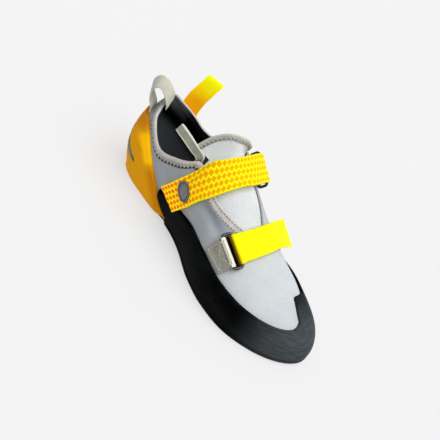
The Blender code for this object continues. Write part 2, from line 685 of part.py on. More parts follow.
# strap and webbing stations: x, y, z of the heel-side edge, then of the toe-side edge
UPPER_STRAP_UNDER = (
    (77.5, -30.0, 46.0, 104.0, -34.0, 42.0),
    (88.0, -24.0, 67.0, 110.5, -31.0, 55.5),
    (92.0, -17.0, 78.0, 115.0, -27.0, 63.0),
    (98.0, -8.0, 88.0, 119.5, -17.0, 72.0),
    (101.0, 5.0, 91.0, 122.5, -1.0, 78.5),
    (101.0, 11.0, 91.0, 123.5, 9.0, 79.0),
)
UPPER_STRAP_OVER = UPPER_STRAP_UNDER[::-1] + (
    (69.0, -30.0, 32.0, 94.0, -33.0, 26.0),
)
UPPER_RING_HEEL = np.array([97.2, 34.0, 86.0])
UPPER_RING_TOE = np.array([119.2, 33.0, 73.0])
UPPER_RING_WAY = np.array([-0.12, 0.94, -0.33])
UPPER_RING_DOWN = np.array([-0.15, -0.12, -0.98])
UPPER_RING_EXTRA = 1.0
UPPER_UNDER_ROWS = 12
UPPER_OVER_ROWS = 15

fold_radius = WIRE + GAP + STRAP_THICK / 2
under_offset = STRAP_LOW + STRAP_THICK / 2
over_offset = under_offset + STRAP_THICK + GAP


def bar_line(middle, across):
    half = STRAP_WIDTH / 2
    return middle + across * np.linspace(-half, half, STRAP_COLUMNS)[:, None]


upper_across = unit(UPPER_RING_TOE - UPPER_RING_HEEL)
upper_way = unit(UPPER_RING_WAY - upper_across * (UPPER_RING_WAY @ upper_across))
upper_lift = np.cross(upper_across, upper_way)
upper_bar = (UPPER_RING_HEEL + UPPER_RING_TOE) / 2
under = drape(ruled(UPPER_STRAP_UNDER, UPPER_UNDER_ROWS), under_offset)
over = drape(ruled(UPPER_STRAP_OVER, UPPER_OVER_ROWS), over_offset)
ribbon_piece("upper_strap", folded(under, over, bar_line(upper_bar, upper_across), upper_way, upper_lift,
                                   fold_radius), STRAP_THICK, ORANGE)
upper_down = unit(UPPER_RING_DOWN - upper_across * (UPPER_RING_DOWN @ upper_across))
upper_bar_b = upper_bar + upper_down * (RING_REACH + UPPER_RING_EXTRA)
tube_piece("upper_ring", ring_path(upper_bar, upper_bar_b, upper_across), WIRE, STEEL)

# webbing of the upper ring: up the medial side, round the ring's lower bar and down again

UPPER_WEB_UNDER = (
    (96.0, 28.0, 40.0, 120.0, 30.0, 33.0),
    (96.0, 30.0, 50.0, 120.0, 31.0, 43.0),
    (96.0, 31.0, 62.0, 119.5, 31.0, 52.0),
)
UPPER_WEB_OVER = UPPER_WEB_UNDER[:0:-1]
UPPER_WEB_ROWS = (6, 4)
web_radius = WIRE + GAP + TAPE_THICK / 2
web_under = GAP + TAPE_THICK / 2
web_over = web_under + TAPE_THICK + GAP
web_lift = np.cross(upper_across, -upper_down)
under = drape(ruled(UPPER_WEB_UNDER, UPPER_WEB_ROWS[0]), web_under)
over = drape(ruled(UPPER_WEB_OVER, UPPER_WEB_ROWS[1]), web_over)
ribbon_piece("upper_webbing", folded(under, over, bar_line(upper_bar_b, upper_across), -upper_down,
                                     -web_lift, web_radius), TAPE_THICK, BEIGE)

# lower strap: up the medial side, over the vamp, round the lateral ring and back to a free medial end

LOWER_STRAP_UNDER = (
    (141.5, 33.5, 44.0, 164.5, 36.0, 35.5),
    (147.5, 28.0, 54.0, 169.5, 28.0, 45.5),
    (153.0, 13.0, 62.0, 174.0, 12.0, 52.0),
    (154.0, -8.0, 61.0, 175.5, -11.0, 50.0),
    (152.0, -19.0, 57.5, 174.5, -20.5, 47.5),
)
LOWER_STRAP_OVER = (
    (152.0, -19.0, 57.5, 174.5, -20.5, 47.5),
    (154.0, -8.0, 61.0, 175.5, -11.0, 50.0),
    (154.5, 5.0, 62.5, 175.5, 2.0, 52.0),
    (153.0, 15.0, 62.0, 174.0, 14.0, 52.0),
)
LOWER_STRAP_TIP = np.array([146.0, 44.0, 52.0, 167.0, 46.0, 38.0])
LOWER_TIP_ROWS = 3
LOWER_UNDER_ROWS = 12
LOWER_OVER_ROWS = 9
LOWER_RING_SPOT = np.array([162.6, -24.0, 50.0])
LOWER_RING_ACROSS = np.array([23.0, -1.0, -9.0])
LOWER_RING_LIFT = 3.6

spot = int(np.argmin(((DENSE_POINTS - LOWER_RING_SPOT) ** 2).sum(1)))
lower_lift = DENSE_NORMALS[spot]
lower_across = unit(LOWER_RING_ACROSS - lower_lift * (LOWER_RING_ACROSS @ lower_lift))
lower_way = np.cross(lower_across, lower_lift)
lower_bar = drape(LOWER_RING_SPOT[None], LOWER_RING_LIFT)[0]
under = drape(ruled(LOWER_STRAP_UNDER, LOWER_UNDER_ROWS), under_offset)
over = drape(ruled(LOWER_STRAP_OVER, LOWER_OVER_ROWS), over_offset)
share = np.linspace(0, 1, STRAP_COLUMNS)[:, None]
tip = LOWER_STRAP_TIP[:3] * (1 - share) + LOWER_STRAP_TIP[3:] * share
tip_way = unit(tip - over[-1])
tail = blend(over[-1], tip, unit(over[-1] - over[-2]), tip_way, LOWER_TIP_ROWS)
over = np.concatenate([over, tail, tip[None]])
ribbon_piece("lower_strap", folded(under, over, bar_line(lower_bar, lower_across), lower_way, lower_lift,
                                   fold_radius), STRAP_THICK, YELLOW)
lower_bar_b = lower_bar + lower_way * RING_REACH
tube_piece("lower_ring", ring_path(lower_bar, lower_bar_b, lower_across), WIRE, STEEL)

LOWER_WEB_UNDER = (
    (144.5, -38.5, 36.5, 169.5, -41.0, 32.5),
    (146.5, -36.0, 41.0, 171.0, -38.0, 36.0),
)
LOWER_WEB_ROWS = 4
web_inner = drape(ruled(LOWER_WEB_UNDER, LOWER_WEB_ROWS), web_under)
web_outer = drape(ruled(LOWER_WEB_UNDER[::-1], LOWER_WEB_ROWS), web_over)
ribbon_piece("lower_webbing", folded(web_inner, web_outer, bar_line(lower_bar_b, lower_across), -lower_way,
                                     lower_lift, web_radius), TAPE_THICK, BEIGE)

# pull loops


def tape_loop(name, path, ways, width, rows, look):
    """Tape along a smooth path; its width lies along the ways, evenly spaced from end to end."""
    at = np.linspace(0, 1, rows)
    line = open_spline(np.array(path, float), at * (len(path) - 1))
    way = unit(open_spline(ways, at * (len(ways) - 1)))
    half = width / 2
    grid = line[:, None, :] + way[:, None, :] * np.linspace(-half, half, LOOP_COLUMNS)[None, :, None]
    ribbon_piece(name, grid, TAPE_THICK, look)


def wall_points(t, heights, offset):
    """Points on the last at heights along the section of t, moved out by an offset."""
    share = np.array([heights]) / last_length(np.array([t]))[0]
    points, normals = last_grid(np.array([t]), share)
    return tuple(points[0] + normals[0] * offset)


HEEL_LOOP_WIDTH = 13.0
HEEL_LOOP_T = 0.7
HEEL_LOOP_FOOT = (59.0, 62.0)
HEEL_LOOP_SPOT = np.array([12.0, -8.6])
HEEL_LOOP_OUT = np.array([-0.82, -0.57])
# the loop's middle line: millimetres out from its spot on the collar, and height; then its ways across
HEEL_LOOP = (
    (7.9, 69.0), (12.2, 76.0), (15.2, 83.4), (14.0, 89.4), (10.2, 92.8), (5.2, 91.8), (1.2, 88.4),
    (-2.0, 84.4), (-3.8, 80.8), (-4.6, 78.4), (-4.8, 76.2),
)
HEEL_LOOP_WAYS = (
    (-0.73, 0.68, 0.0), (-0.45, 0.87, 0.05), (-0.72, 0.62, 0.3), (-0.6, 0.62, 0.5), (-0.25, 0.93, 0.2),
    (-0.4, 0.8, 0.45), (-0.42, 0.7, 0.58),
)
HEEL_LOOP_ROWS = 24
heel_foot = wall_points(HEEL_LOOP_T, HEEL_LOOP_FOOT, 3 * GAP + TAPE_THICK / 2)
heel_rise = tuple(np.append(HEEL_LOOP_SPOT + HEEL_LOOP_OUT * out, height) for out, height in HEEL_LOOP)
tape_loop("heel_loop", heel_foot + heel_rise, HEEL_LOOP_WAYS, HEEL_LOOP_WIDTH, HEEL_LOOP_ROWS, BEIGE)

SIDE_LOOP_WIDTH = 17.0
SIDE_LOOP_WAYS = ((0.83, 0.56, 0.0), (0.9, 0.43, -0.1), (0.83, 0.56, 0.0))
SIDE_LOOP_T = LOOP - 1.5
SIDE_LOOP_DROP = np.array([9.0, 4.5])
SIDE_LOOP_ROWS = 26
SIDE_LOOP_UP = ((16.6, 25.2, 80.0), (18.6, 29.0, 92.0), (20.2, 31.8, 100.8))
SIDE_LOOP_DOWN = ((19.4, 33.8, 100.8), (17.6, 30.9, 92.0), (15.2, 27.0, 80.0))
SIDE_LOOP_TIP = (20.2, 33.3, 103.0)
side_low = BINDING_PROUD + GAP + TAPE_THICK
side_heights = last_length(np.array([SIDE_LOOP_T]))[0] - SIDE_LOOP_DROP
side_near = wall_points(SIDE_LOOP_T, side_heights, side_low)
side_far = wall_points(SIDE_LOOP_T, side_heights, side_low + TAPE_THICK + GAP)
side_path = side_near + SIDE_LOOP_UP + (SIDE_LOOP_TIP,) + SIDE_LOOP_DOWN + side_far[::-1]
tape_loop("side_loop", side_path, SIDE_LOOP_WAYS, SIDE_LOOP_WIDTH, SIDE_LOOP_ROWS, YELLOW)

FRONT_LOOP_WIDTH = 8.0
FRONT_LOOP_WAYS = ((0.83, 0.37, 0.55), (-0.06, 0.65, 0.75), (0.83, 0.37, 0.55))
FRONT_LOOP_T = 4.95
FRONT_LOOP_DROP = np.array([8.0, 1.0])
FRONT_LOOP_ROWS = 26
FRONT_LOOP = (
    (79.2, -15.9, 74.4), (71.5, -18.0, 77.1), (61.0, -19.6, 79.7), (52.0, -20.9, 81.6), (49.0, -21.0, 82.2),
    (51.6, -19.5, 81.4), (61.0, -17.8, 78.9), (71.0, -16.2, 75.9), (78.4, -14.2, 73.2),
)
front_low = -UPPER_WALL - BINDING_PROUD - 4 * GAP - TAPE_THICK / 2
front_heights = last_length(np.array([FRONT_LOOP_T]))[0] - FRONT_LOOP_DROP
front_near = wall_points(FRONT_LOOP_T, front_heights, front_low)
front_far = wall_points(FRONT_LOOP_T, front_heights, front_low - TAPE_THICK - GAP)
tape_loop("front_loop", front_near + FRONT_LOOP + front_far[::-1], FRONT_LOOP_WAYS, FRONT_LOOP_WIDTH,
          FRONT_LOOP_ROWS, BEIGE)
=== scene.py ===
"""Looks of a right climbing shoe: fine cloth, rubber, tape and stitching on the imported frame.

Shapes are worked out in shoe millimetres: x from the heel to the toe, y to the medial side, z up.
"""
import math

import bmesh
import bpy
import numpy as np
from mathutils import Matrix, kdtree


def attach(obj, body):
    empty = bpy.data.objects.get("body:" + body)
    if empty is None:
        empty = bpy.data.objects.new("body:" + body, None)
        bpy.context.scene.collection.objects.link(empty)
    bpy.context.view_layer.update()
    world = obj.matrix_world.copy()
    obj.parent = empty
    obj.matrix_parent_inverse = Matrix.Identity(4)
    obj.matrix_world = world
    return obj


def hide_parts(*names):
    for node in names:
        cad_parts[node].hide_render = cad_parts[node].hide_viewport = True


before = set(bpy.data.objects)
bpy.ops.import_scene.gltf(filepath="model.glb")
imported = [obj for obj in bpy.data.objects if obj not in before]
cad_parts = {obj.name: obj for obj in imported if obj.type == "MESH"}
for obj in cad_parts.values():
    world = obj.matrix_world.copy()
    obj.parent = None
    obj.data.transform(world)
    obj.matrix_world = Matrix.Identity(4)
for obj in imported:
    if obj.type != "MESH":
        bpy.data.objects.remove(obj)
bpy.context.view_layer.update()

MM = 0.001
TINY = 1e-12
FEATHER_STEP = 0.001
ORIGIN = np.array([35.0, -1.0, 0.0])

# last: a row per section, feather point and top point of each side
LAST_COLUMNS = ("name", "lat_x", "lat_y", "med_x", "med_y", "lat_tx", "lat_ty", "lat_tz",
                "med_tx", "med_ty", "med_tz", "lat_bulge", "med_bulge", "arch")
LAST_ROWS = (
    ("heel_back", 4.0, 0.0, 4.0, 0.0, 9.0, 1.0, 83.0, 9.0, 1.0, 83.0, 10.5, 10.5, 0.0),
    ("heel_corner", 11.0, -15.5, 11.0, 14.5, 14.0, -12.0, 73.0, 12.5, 14.0, 75.0, 8.5, 8.0, 0.0),
    ("heel_side", 29.0, -22.5, 29.0, 20.5, 25.0, -25.0, 69.0, 23.0, 25.0, 66.0, 3.5, 5.0, 0.0),
    ("ankle", 52.0, -24.0, 52.0, 21.5, 44.0, -28.0, 55.0, 42.0, 26.0, 63.5, 2.5, 5.0, 0.0),
    ("collar_front", 72.0, -24.5, 72.0, 22.0, 63.0, -25.5, 60.0, 60.0, 25.5, 69.0, 2.5, 5.0, 0.2),
    ("collar_corner", 87.0, -26.0, 87.0, 22.5, 81.0, -17.5, 72.0, 91.0, 28.5, 83.0, 4.0, 6.0, 0.5),
    ("instep_top", 102.0, -29.0, 102.0, 23.0, 94.0, 12.5, 92.0, 94.0, 12.5, 92.0, 5.0, 8.0, 1.0),
    ("instep", 123.0, -33.5, 123.0, 25.0, 112.0, 11.5, 82.0, 112.0, 11.5, 82.0, 4.0, 6.0, 1.0),
    ("waist", 146.0, -40.0, 146.0, 29.0, 137.0, 9.0, 68.0, 137.0, 9.0, 68.0, 3.0, 4.0, 1.0),
    ("ball", 172.0, -45.0, 172.0, 35.0, 164.0, 6.0, 53.5, 164.0, 6.0, 53.5, 2.0, 2.0, 1.0),
    ("toes", 202.0, -43.0, 203.0, 37.5, 192.0, 4.0, 42.0, 192.0, 4.0, 42.0, 1.5, 1.5, 1.0),
    ("toe_side", 229.0, -30.0, 230.0, 32.0, 213.0, 3.0, 35.0, 213.0, 3.0, 35.0, 1.0, 1.0, 1.0),
    ("toe_corner", 246.0, -13.5, 245.5, 19.5, 223.0, 3.0, 32.0, 223.0, 3.0, 32.0, 1.0, 1.0, 1.0),
    ("toe_tip", 252.0, 3.5, 252.0, 3.5, 226.0, 3.0, 31.0, 226.0, 3.0, 31.0, 1.0, 1.0, 1.0),
)
# cut lines: rise of the heel cup and rand above the feather, drop of the collar edge below the top
EDGE_COLUMNS = ("name", "cup", "rand_lat", "rand_med", "edge_lat", "edge_med")
EDGE_ROWS = (
    ("heel_back", 55.0, 21.0, 21.0, 0.0, 0.0),
    ("heel_corner", 57.0, 21.0, 21.0, 0.0, 0.0),
    ("heel_side", 54.0, 21.0, 21.0, 0.0, 0.0),
    ("ankle", 33.0, 21.0, 21.0, 0.0, 0.0),
    ("collar_front", 11.0, 21.5, 21.0, 0.0, 0.0),
    ("collar_corner", 2.0, 22.0, 21.5, 0.0, 0.0),
    ("instep_top", 0.0, 24.0, 23.0, 37.0, 22.0),
    ("instep", 0.0, 28.0, 25.0, 38.5, 17.0),
    ("waist", 0.0, 29.0, 27.0, 27.0, 7.0),
    ("ball", 0.0, 26.0, 29.0, 9.0, 0.0),
    ("toes", 0.0, 24.5, 31.0, 0.0, 0.0),
    ("toe_side", 0.0, 24.0, 32.0, 0.0, 0.0),
    ("toe_corner", 0.0, 26.0, 32.5, 0.0, 0.0),
    ("toe_tip", 0.0, 32.0, 32.0, 0.0, 0.0),
)
ROWS = len(LAST_ROWS)
LOOP = 2 * (ROWS - 1)
FIRST_RIDGE = 6
THROAT_END = 9.0
FULLNESS = 0.9
WALL_POWER = 1.6
BULGE_POWER = 0.82
HEEL_BULGE_POWER = 1.1
HEEL_BULGE_END = 2.5
PROFILE_STEPS = 81
NORMAL_DT = 0.05
NORMAL_DH = 0.03

# lobe of the rand over the big toe, in section numbers and millimetres
LOBE_START = 10.3
LOBE_RAMP = 0.5
LOBE_PEAK = 10.85
LOBE_RISE = 12.0

# walls, gaps and layers
UPPER_WALL = 2.0
GAP = 0.35
RAND_WALL = 2.0
RAND_START = 3.75
BINDING_PROUD = 0.5
BINDING_WIDTH = 7.5
BINDING_MEDIAL_END = 6.0
BINDING_SHELL = 0.42
TONGUE_DEPTH = 2.9
TONGUE_DEPTH_MEDIAL = 2.15
TONGUE_WALL = 2.4
TONGUE_OVERLAP = 8.0
TONGUE_BINDING_WIDTH = 6.0

# sole: flat at heel and forefoot, lifted at the arch and the toe
SOLE_THICK = 4.0
SOLE_GAP = 0.3
SOLE_OUT = 2.4
ARCH_START = 60.0
ARCH_END = 150.0
ARCH_LIFT = 5.0
SPRING_START = 215.0
SPRING_END = 252.0
SPRING_LIFT = 1.3
SPRING_REACH = 1.2
INSOLE_IN = 2.9
INSOLE_THICK = 2.0

# heel cup: how far it reaches down over the outsole's side, and where that fades out
CUP_WRAP = 3.1
CUP_WRAP_START = 3.9
CUP_WRAP_END = 4.75
SOLE_OUT_RAMP = 0.5

# straps, tapes and rings
STRAP_WIDTH = 26.0
STRAP_THICK = 1.5
STRAP_LOW = 1.5
STRAP_COLUMNS = 13
STRAP_ROWS = 90
WIRE = 1.25
WIRE_SIDES = 14
TAPE_THICK = 1.2
RING_REACH = 9.0
RING_SIDE = 1.8
RING_CORNER = 2.6
CORNER_POINTS = 9
BLEND_ROWS = 12
FOLD_ROWS = 15

# mesh steps: rows per section, and distances across an edge as shares of its radius
FINE = 16
EDGE_STEPS = np.array([0.0, 0.08, 0.3, 0.6, 1.0])
TAPE_STEP = 1.6

LAST = {name: np.array(values) for name, values in zip(LAST_COLUMNS, zip(*LAST_ROWS))}
EDGES = {name: np.array(values) for name, values in zip(EDGE_COLUMNS, zip(*EDGE_ROWS))}


def around(lateral, medial):
    """Row values as a closed loop: lateral heel to toe, then medial back to the heel."""
    return np.concatenate([lateral, medial[-2:0:-1]])


def cubic(a, b, c, d, u):
    return 0.5 * (2 * b + (c - a) * u + (2 * a - 5 * b + 4 * c - d) * u ** 2
                  + (3 * b - a - 3 * c + d) * u ** 3)


def spline(values, t):
    """Smooth curve through a closed loop of values, one unit of t per value."""
    i = np.floor(t).astype(int)
    return cubic(*(values[(i + k) % len(values)] for k in (-1, 0, 1, 2)), t - i)


def open_spline(values, t):
    """Smooth curve through an open list of values, natural at both ends."""
    values = np.asarray(values, float)
    padded = np.concatenate([[2 * values[0] - values[1]], values, [2 * values[-1] - values[-2]]])
    t = np.clip(np.asarray(t, float), 0, len(values) - 1)
    i = np.minimum(np.floor(t).astype(int), len(values) - 2)
    u = t - i
    if padded.ndim > 1:
        u = u[:, None]
    return cubic(*(padded[i + k] for k in (0, 1, 2, 3)), u)


def smooth_step(value):
    value = np.clip(value, 0, 1)
    return value * value * (3 - 2 * value)


def unit(v):
    return v / np.maximum(np.linalg.norm(v, axis=-1, keepdims=True), TINY)


def hermite(u):
    """Weights of a start, the slope there, an end and the slope there."""
    return 2 * u ** 3 - 3 * u ** 2 + 1, u ** 3 - 2 * u ** 2 + u, 3 * u ** 2 - 2 * u ** 3, u ** 3 - u ** 2


def running(grid):
    """Distance along a line of points, or the mean distance along the rows of a grid, from 0."""
    steps = np.linalg.norm(np.diff(grid, axis=0), axis=-1)
    return np.concatenate([[0], np.cumsum(steps.reshape(len(steps), -1).mean(1))])


def foot_z(x):
    """Height of the feather line: flat heel and forefoot, lifted arch, small toe spring."""
    x = np.asarray(x, float)
    u = np.clip((x - ARCH_START) / (ARCH_END - ARCH_START), 0, 1)
    v = np.clip((x - SPRING_START) / (SPRING_END - SPRING_START), 0, SPRING_REACH)
    return SOLE_THICK + SOLE_GAP + ARCH_LIFT * np.sin(np.pi * u) ** 2 + SPRING_LIFT * v ** 2


def section(t):
    """Section number of a loop parameter, 0 at the heel back and ROWS - 1 at the toe tip."""
    t = np.asarray(t, float) % LOOP
    return np.where(t > ROWS - 1, LOOP - t, t)


def is_medial(t):
    return np.asarray(t, float) % LOOP > ROWS - 1


BOTTOM_X = around(LAST["lat_x"], LAST["med_x"])
BOTTOM_Y = around(LAST["lat_y"], LAST["med_y"])
BULGE = around(LAST["lat_bulge"], LAST["med_bulge"])
ARCH = around(LAST["arch"], LAST["arch"])
TOPS = tuple(around(LAST["lat_" + k], LAST["med_" + k]) for k in ("tx", "ty", "tz"))
RIDGES = tuple(LAST["lat_" + k][FIRST_RIDGE:] for k in ("tx", "ty", "tz"))
RIDGE_X, _, RIDGE_Z = RIDGES
RIDGE_SLOPE = np.gradient(RIDGE_Z, RIDGE_X)


def ridge_z(x):
    """Height of the instep line over x, carried on straight past both ends."""
    x = np.asarray(x, float)
    i = np.clip(np.searchsorted(RIDGE_X, x) - 1, 0, len(RIDGE_X) - 2)
    gap = RIDGE_X[i + 1] - RIDGE_X[i]
    start, leave, end, arrive = hermite(np.clip((x - RIDGE_X[i]) / gap, 0, 1))
    z = (start * RIDGE_Z[i] + leave * gap * RIDGE_SLOPE[i]
         + end * RIDGE_Z[i + 1] + arrive * gap * RIDGE_SLOPE[i + 1])
    z = np.where(x < RIDGE_X[0], RIDGE_Z[0] + RIDGE_SLOPE[0] * (x - RIDGE_X[0]), z)
    return np.where(x > RIDGE_X[-1], RIDGE_Z[-1] + RIDGE_SLOPE[-1] * (x - RIDGE_X[-1]), z)


def top_line(t):
    """Collar line for the rear sections, ridge line for the arched ones."""
    s = section(t)
    on_ridge = s >= FIRST_RIDGE
    out = []
    for loop, ridge in zip(TOPS, RIDGES):
        mirrored = np.concatenate([[2 * ridge[0] - ridge[1]], ridge, [ridge[-2], ridge[-3]]])
        along = np.where(on_ridge, s - FIRST_RIDGE + 1, 1.0)
        out.append(np.where(on_ridge, spline(mirrored, along), spline(loop, np.asarray(t, float) % LOOP)))
    return out


def feather(t):
    """Feather line and its outward direction in plan."""
    t = np.asarray(t, float) % LOOP
    dx = spline(BOTTOM_X, t + FEATHER_STEP) - spline(BOTTOM_X, t - FEATHER_STEP)
    dy = spline(BOTTOM_Y, t + FEATHER_STEP) - spline(BOTTOM_Y, t - FEATHER_STEP)
    size = np.hypot(dx, dy)
    return spline(BOTTOM_X, t), spline(BOTTOM_Y, t), dy / size, -dx / size


def bulge_power(t):
    """Power that sets the height of the wall's fullest place, higher up round the heel."""
    share = smooth_step(1 - section(t) / HEEL_BULGE_END)
    return BULGE_POWER + (HEEL_BULGE_POWER - BULGE_POWER) * share


def profiles(t):
    """Section curves from the feather to the top, and their running lengths."""
    t = np.asarray(t, float) % LOOP
    bx, by, nx, ny = (v[:, None] for v in feather(t))
    tx, ty, tz = (v[:, None] for v in top_line(t))
    bz = foot_z(bx)
    bulge = spline(BULGE, t)[:, None]
    arch = np.clip(spline(ARCH, t), 0, 1)[:, None]
    h = np.linspace(0, 1, PROFILE_STEPS)[None, :]
    angle = h * np.pi / 2
    u = arch * (1 - np.cos(angle) ** FULLNESS) + (1 - arch) * h ** WALL_POWER
    w = arch * np.sin(angle) ** FULLNESS + (1 - arch) * h
    swell = bulge * np.sin(np.pi * h ** bulge_power(t)[:, None])
    x = bx + (tx - bx) * u + nx * swell
    y = by + (ty - by) * u + ny * swell
    top = tz + arch * (ridge_z(x) - ridge_z(tx))
    z = bz + (top - bz) * w
    points = np.stack([x, y, z], -1)
    steps = np.linalg.norm(np.diff(points, axis=1), axis=2)
    run = np.concatenate([np.zeros((len(t), 1)), np.cumsum(steps, 1)], 1)
    return points, run


def last_points(t, share):
    """Points at loop parameters t (rows) and shares of the section length (rows, columns)."""
    points, run = profiles(t)
    out = np.empty(share.shape + (3,))
    for i in range(len(t)):
        for c in range(3):
            out[i, :, c] = np.interp(share[i] * run[i, -1], run[i], points[i, :, c])
    return out


def last_length(t):
    return profiles(np.atleast_1d(t))[1][:, -1]


def last_grid(t, share):
    """Points and outward unit normals on the last."""
    points = last_points(t, share)
    low = np.clip(share - NORMAL_DH, 0, 1)
    high = np.clip(share + NORMAL_DH, 0, 1)
    along = last_points(t + NORMAL_DT, share) - last_points(t - NORMAL_DT, share)
    rise = last_points(t, high) - last_points(t, low)
    return points, unit(np.cross(along, rise))


def cup_rise(t):
    value = EDGES["cup"]
    return np.maximum(spline(around(value, value), np.asarray(t, float) % LOOP), 0)


def rand_rise(t):
    base = spline(around(EDGES["rand_lat"], EDGES["rand_med"]), np.asarray(t, float) % LOOP)
    s = section(t)
    ramp = smooth_step((s - LOBE_START) / LOBE_RAMP)
    fade = np.clip((ROWS - 1 - s) / (ROWS - 1 - LOBE_PEAK), 0, 1)
    return base + np.where(is_medial(t), LOBE_RISE * ramp * fade, 0)


def edge_drop(t):
    value = spline(around(EDGES["edge_lat"], EDGES["edge_med"]), np.asarray(t, float) % LOOP)
    s = section(t)
    return np.where((s > FIRST_RIDGE - 1) & (s < THROAT_END), np.maximum(value, 0), 0)


def fine_rows(first, last):
    return np.linspace(first, last, int(round((last - first) * FINE)) + 1)


RUN_STEPS = fine_rows(0, LOOP)
RUN_SHARE = 0.3
RUN_POINTS = last_points(RUN_STEPS, np.full((len(RUN_STEPS), 1), RUN_SHARE))[:, 0]
RUN_LENGTH = running(RUN_POINTS)


def loop_run(t):
    """Millimetres along the loop, taken a third of the way up the wall."""
    t = np.asarray(t, float)
    turns = np.floor(t / LOOP)
    return turns * RUN_LENGTH[-1] + np.interp(t - turns * LOOP, RUN_STEPS, RUN_LENGTH)


# mesh making


def grid_faces(index, closed=False, flip=False):
    """Faces of a grid of vertex numbers; corners that coincide are dropped."""
    rows = index if closed else index[:-1]
    after = np.roll(index, -1, axis=0) if closed else index[1:]
    faces = np.stack([rows[:, :-1], after[:, :-1], after[:, 1:], rows[:, 1:]], -1).reshape(-1, 4)
    if flip:
        faces = faces[:, ::-1]
    made = [list(dict.fromkeys(face)) for face in faces.tolist()]
    return [face for face in made if len(face) > 2]


def number(grid, start=0):
    return start + np.arange(grid.shape[0] * grid.shape[1]).reshape(grid.shape[:2])


def wrapped(index):
    """Vertex numbers with the first column repeated after the last."""
    return np.concatenate([index, index[:, :1]], 1)


def tube_faces(grid, start=0):
    """Faces of a closed tube whose rows are rings, with a cap at each end."""
    index = wrapped(number(grid, start))
    return grid_faces(index) + [index[0, :-1].tolist(), index[-1, -2::-1].tolist()]


def read_grid(grid, row, column):
    """Grid values at fractional rows and columns."""
    i = np.clip(np.floor(row).astype(int), 0, grid.shape[0] - 2)
    j = np.clip(np.floor(column).astype(int), 0, grid.shape[1] - 2)
    a = (row - i)[:, None]
    b = (column - j)[:, None]
    low = grid[i, j] * (1 - b) + grid[i, j + 1] * b
    high = grid[i + 1, j] * (1 - b) + grid[i + 1, j + 1] * b
    return low * (1 - a) + high * a


SHARP_ANGLE = 50.0
HOLE_SIDES = 4


def add_piece(name, points, faces, looks, nodes=(), cloth=None, face_looks=None):
    """Names a mesh, rides it on the shoe and hides the CAD nodes it stands for."""
    mesh = bpy.data.meshes.new(name)
    mesh.from_pydata(((points - ORIGIN) * MM).tolist(), [], faces)
    if cloth is not None:
        layer = mesh.attributes.new("cloth", "FLOAT_VECTOR", "POINT")
        layer.data.foreach_set("vector", np.ascontiguousarray(cloth, np.float32).ravel())
    for look in looks:
        mesh.materials.append(look)
    if face_looks is not None:
        mesh.polygons.foreach_set("material_index", np.asarray(face_looks, np.int32))
    work = bmesh.new()
    work.from_mesh(mesh)
    bmesh.ops.delete(work, geom=[v for v in work.verts if not v.link_faces], context="VERTS")
    bmesh.ops.holes_fill(work, edges=[e for e in work.edges if e.is_boundary], sides=HOLE_SIDES)
    bmesh.ops.recalc_face_normals(work, faces=work.faces[:])
    work.to_mesh(mesh)
    work.free()
    mesh.shade_smooth()
    mesh.set_sharp_from_angle(angle=math.radians(SHARP_ANGLE))
    piece = bpy.data.objects.new(name, mesh)
    bpy.context.scene.collection.objects.link(piece)
    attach(piece, "root")
    if nodes:
        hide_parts(*nodes)
    return piece


def skins(outer, inner):
    """Points of two grids in one list."""
    return np.concatenate([outer.reshape(-1, 3), inner.reshape(-1, 3)])


def round_edge(distance, radius):
    """Share of the full thickness at a distance from a round edge."""
    return np.sqrt(1 - (1 - np.clip(distance / radius, 0, 1)) ** 2)


def edge_places(length, radius, step):
    """Distances from 0 to length, close together where the edges turn."""
    near = radius * EDGE_STEPS
    count = max(int(round((length - 2 * radius) / step)), 2)
    inner = np.linspace(radius, length - radius, count + 1)
    return np.concatenate([near[:-1], inner, (length - near[:-1])[::-1]])


class Tape:
    """Closed tape with round edges about a grid of middle points."""

    def __init__(self, middle, thick, step=TAPE_STEP):
        run = running(middle)
        self.length = run[-1]
        self.width = np.linalg.norm(np.diff(middle, axis=1), axis=2).sum(1).mean()
        self.radius = thick / 2
        self.u = edge_places(self.length, self.radius, step)
        self.v = edge_places(self.width, self.radius, step)
        rows = blend_rows(middle, run, self.u)
        across = np.linspace(0, self.width, middle.shape[1])
        self.grid = blend_rows(rows.transpose(1, 0, 2), across, self.v).transpose(1, 0, 2)
        along = np.gradient(self.grid, self.u, axis=0)
        side = np.gradient(self.grid, self.v, axis=1)
        self.normal = unit(np.cross(along, side))
        near_end = np.minimum(self.u, self.length - self.u)
        near_side = np.minimum(self.v, self.width - self.v)
        self.half = self.radius * round_edge(np.minimum(near_end[:, None], near_side[None, :]), self.radius)

    def body(self):
        """Points, faces and cloth millimetres: along, across from the middle, side."""
        lift = (self.normal * self.half[..., None]).reshape(-1, 3)
        flat = self.grid.reshape(-1, 3)
        front = number(self.grid)
        back = front + front.size
        for border in (np.s_[0, :], np.s_[-1, :], np.s_[:, 0], np.s_[:, -1]):
            back[border] = front[border]
        u, v = np.meshgrid(self.u, self.v - self.width / 2, indexing="ij")
        cloth = np.stack([u.ravel(), v.ravel(), np.ones(u.size)], 1)
        other = cloth * (1, 1, -1)
        faces = grid_faces(front) + grid_faces(back, flip=True)
        return np.concatenate([flat + lift, flat - lift]), faces, np.concatenate([cloth, other])

    def place(self, u, v, lift):
        """Points at u along and v from the middle, lifted off the front, or off the back if negative."""
        row = np.interp(u, self.u, np.arange(len(self.u)))
        column = np.interp(np.asarray(v, float) + self.width / 2, self.v, np.arange(len(self.v)))
        out = unit(read_grid(self.normal, row, column))
        return read_grid(self.grid, row, column) + out * (np.sign(lift) * self.radius + lift)


def blend_rows(grid, at, wanted):
    """Rows of a grid read at new distances."""
    i = np.clip(np.searchsorted(at, wanted) - 1, 0, len(at) - 2)
    u = ((wanted - at[i]) / (at[i + 1] - at[i]))[:, None, None]
    return grid[i] * (1 - u) + grid[i + 1] * u


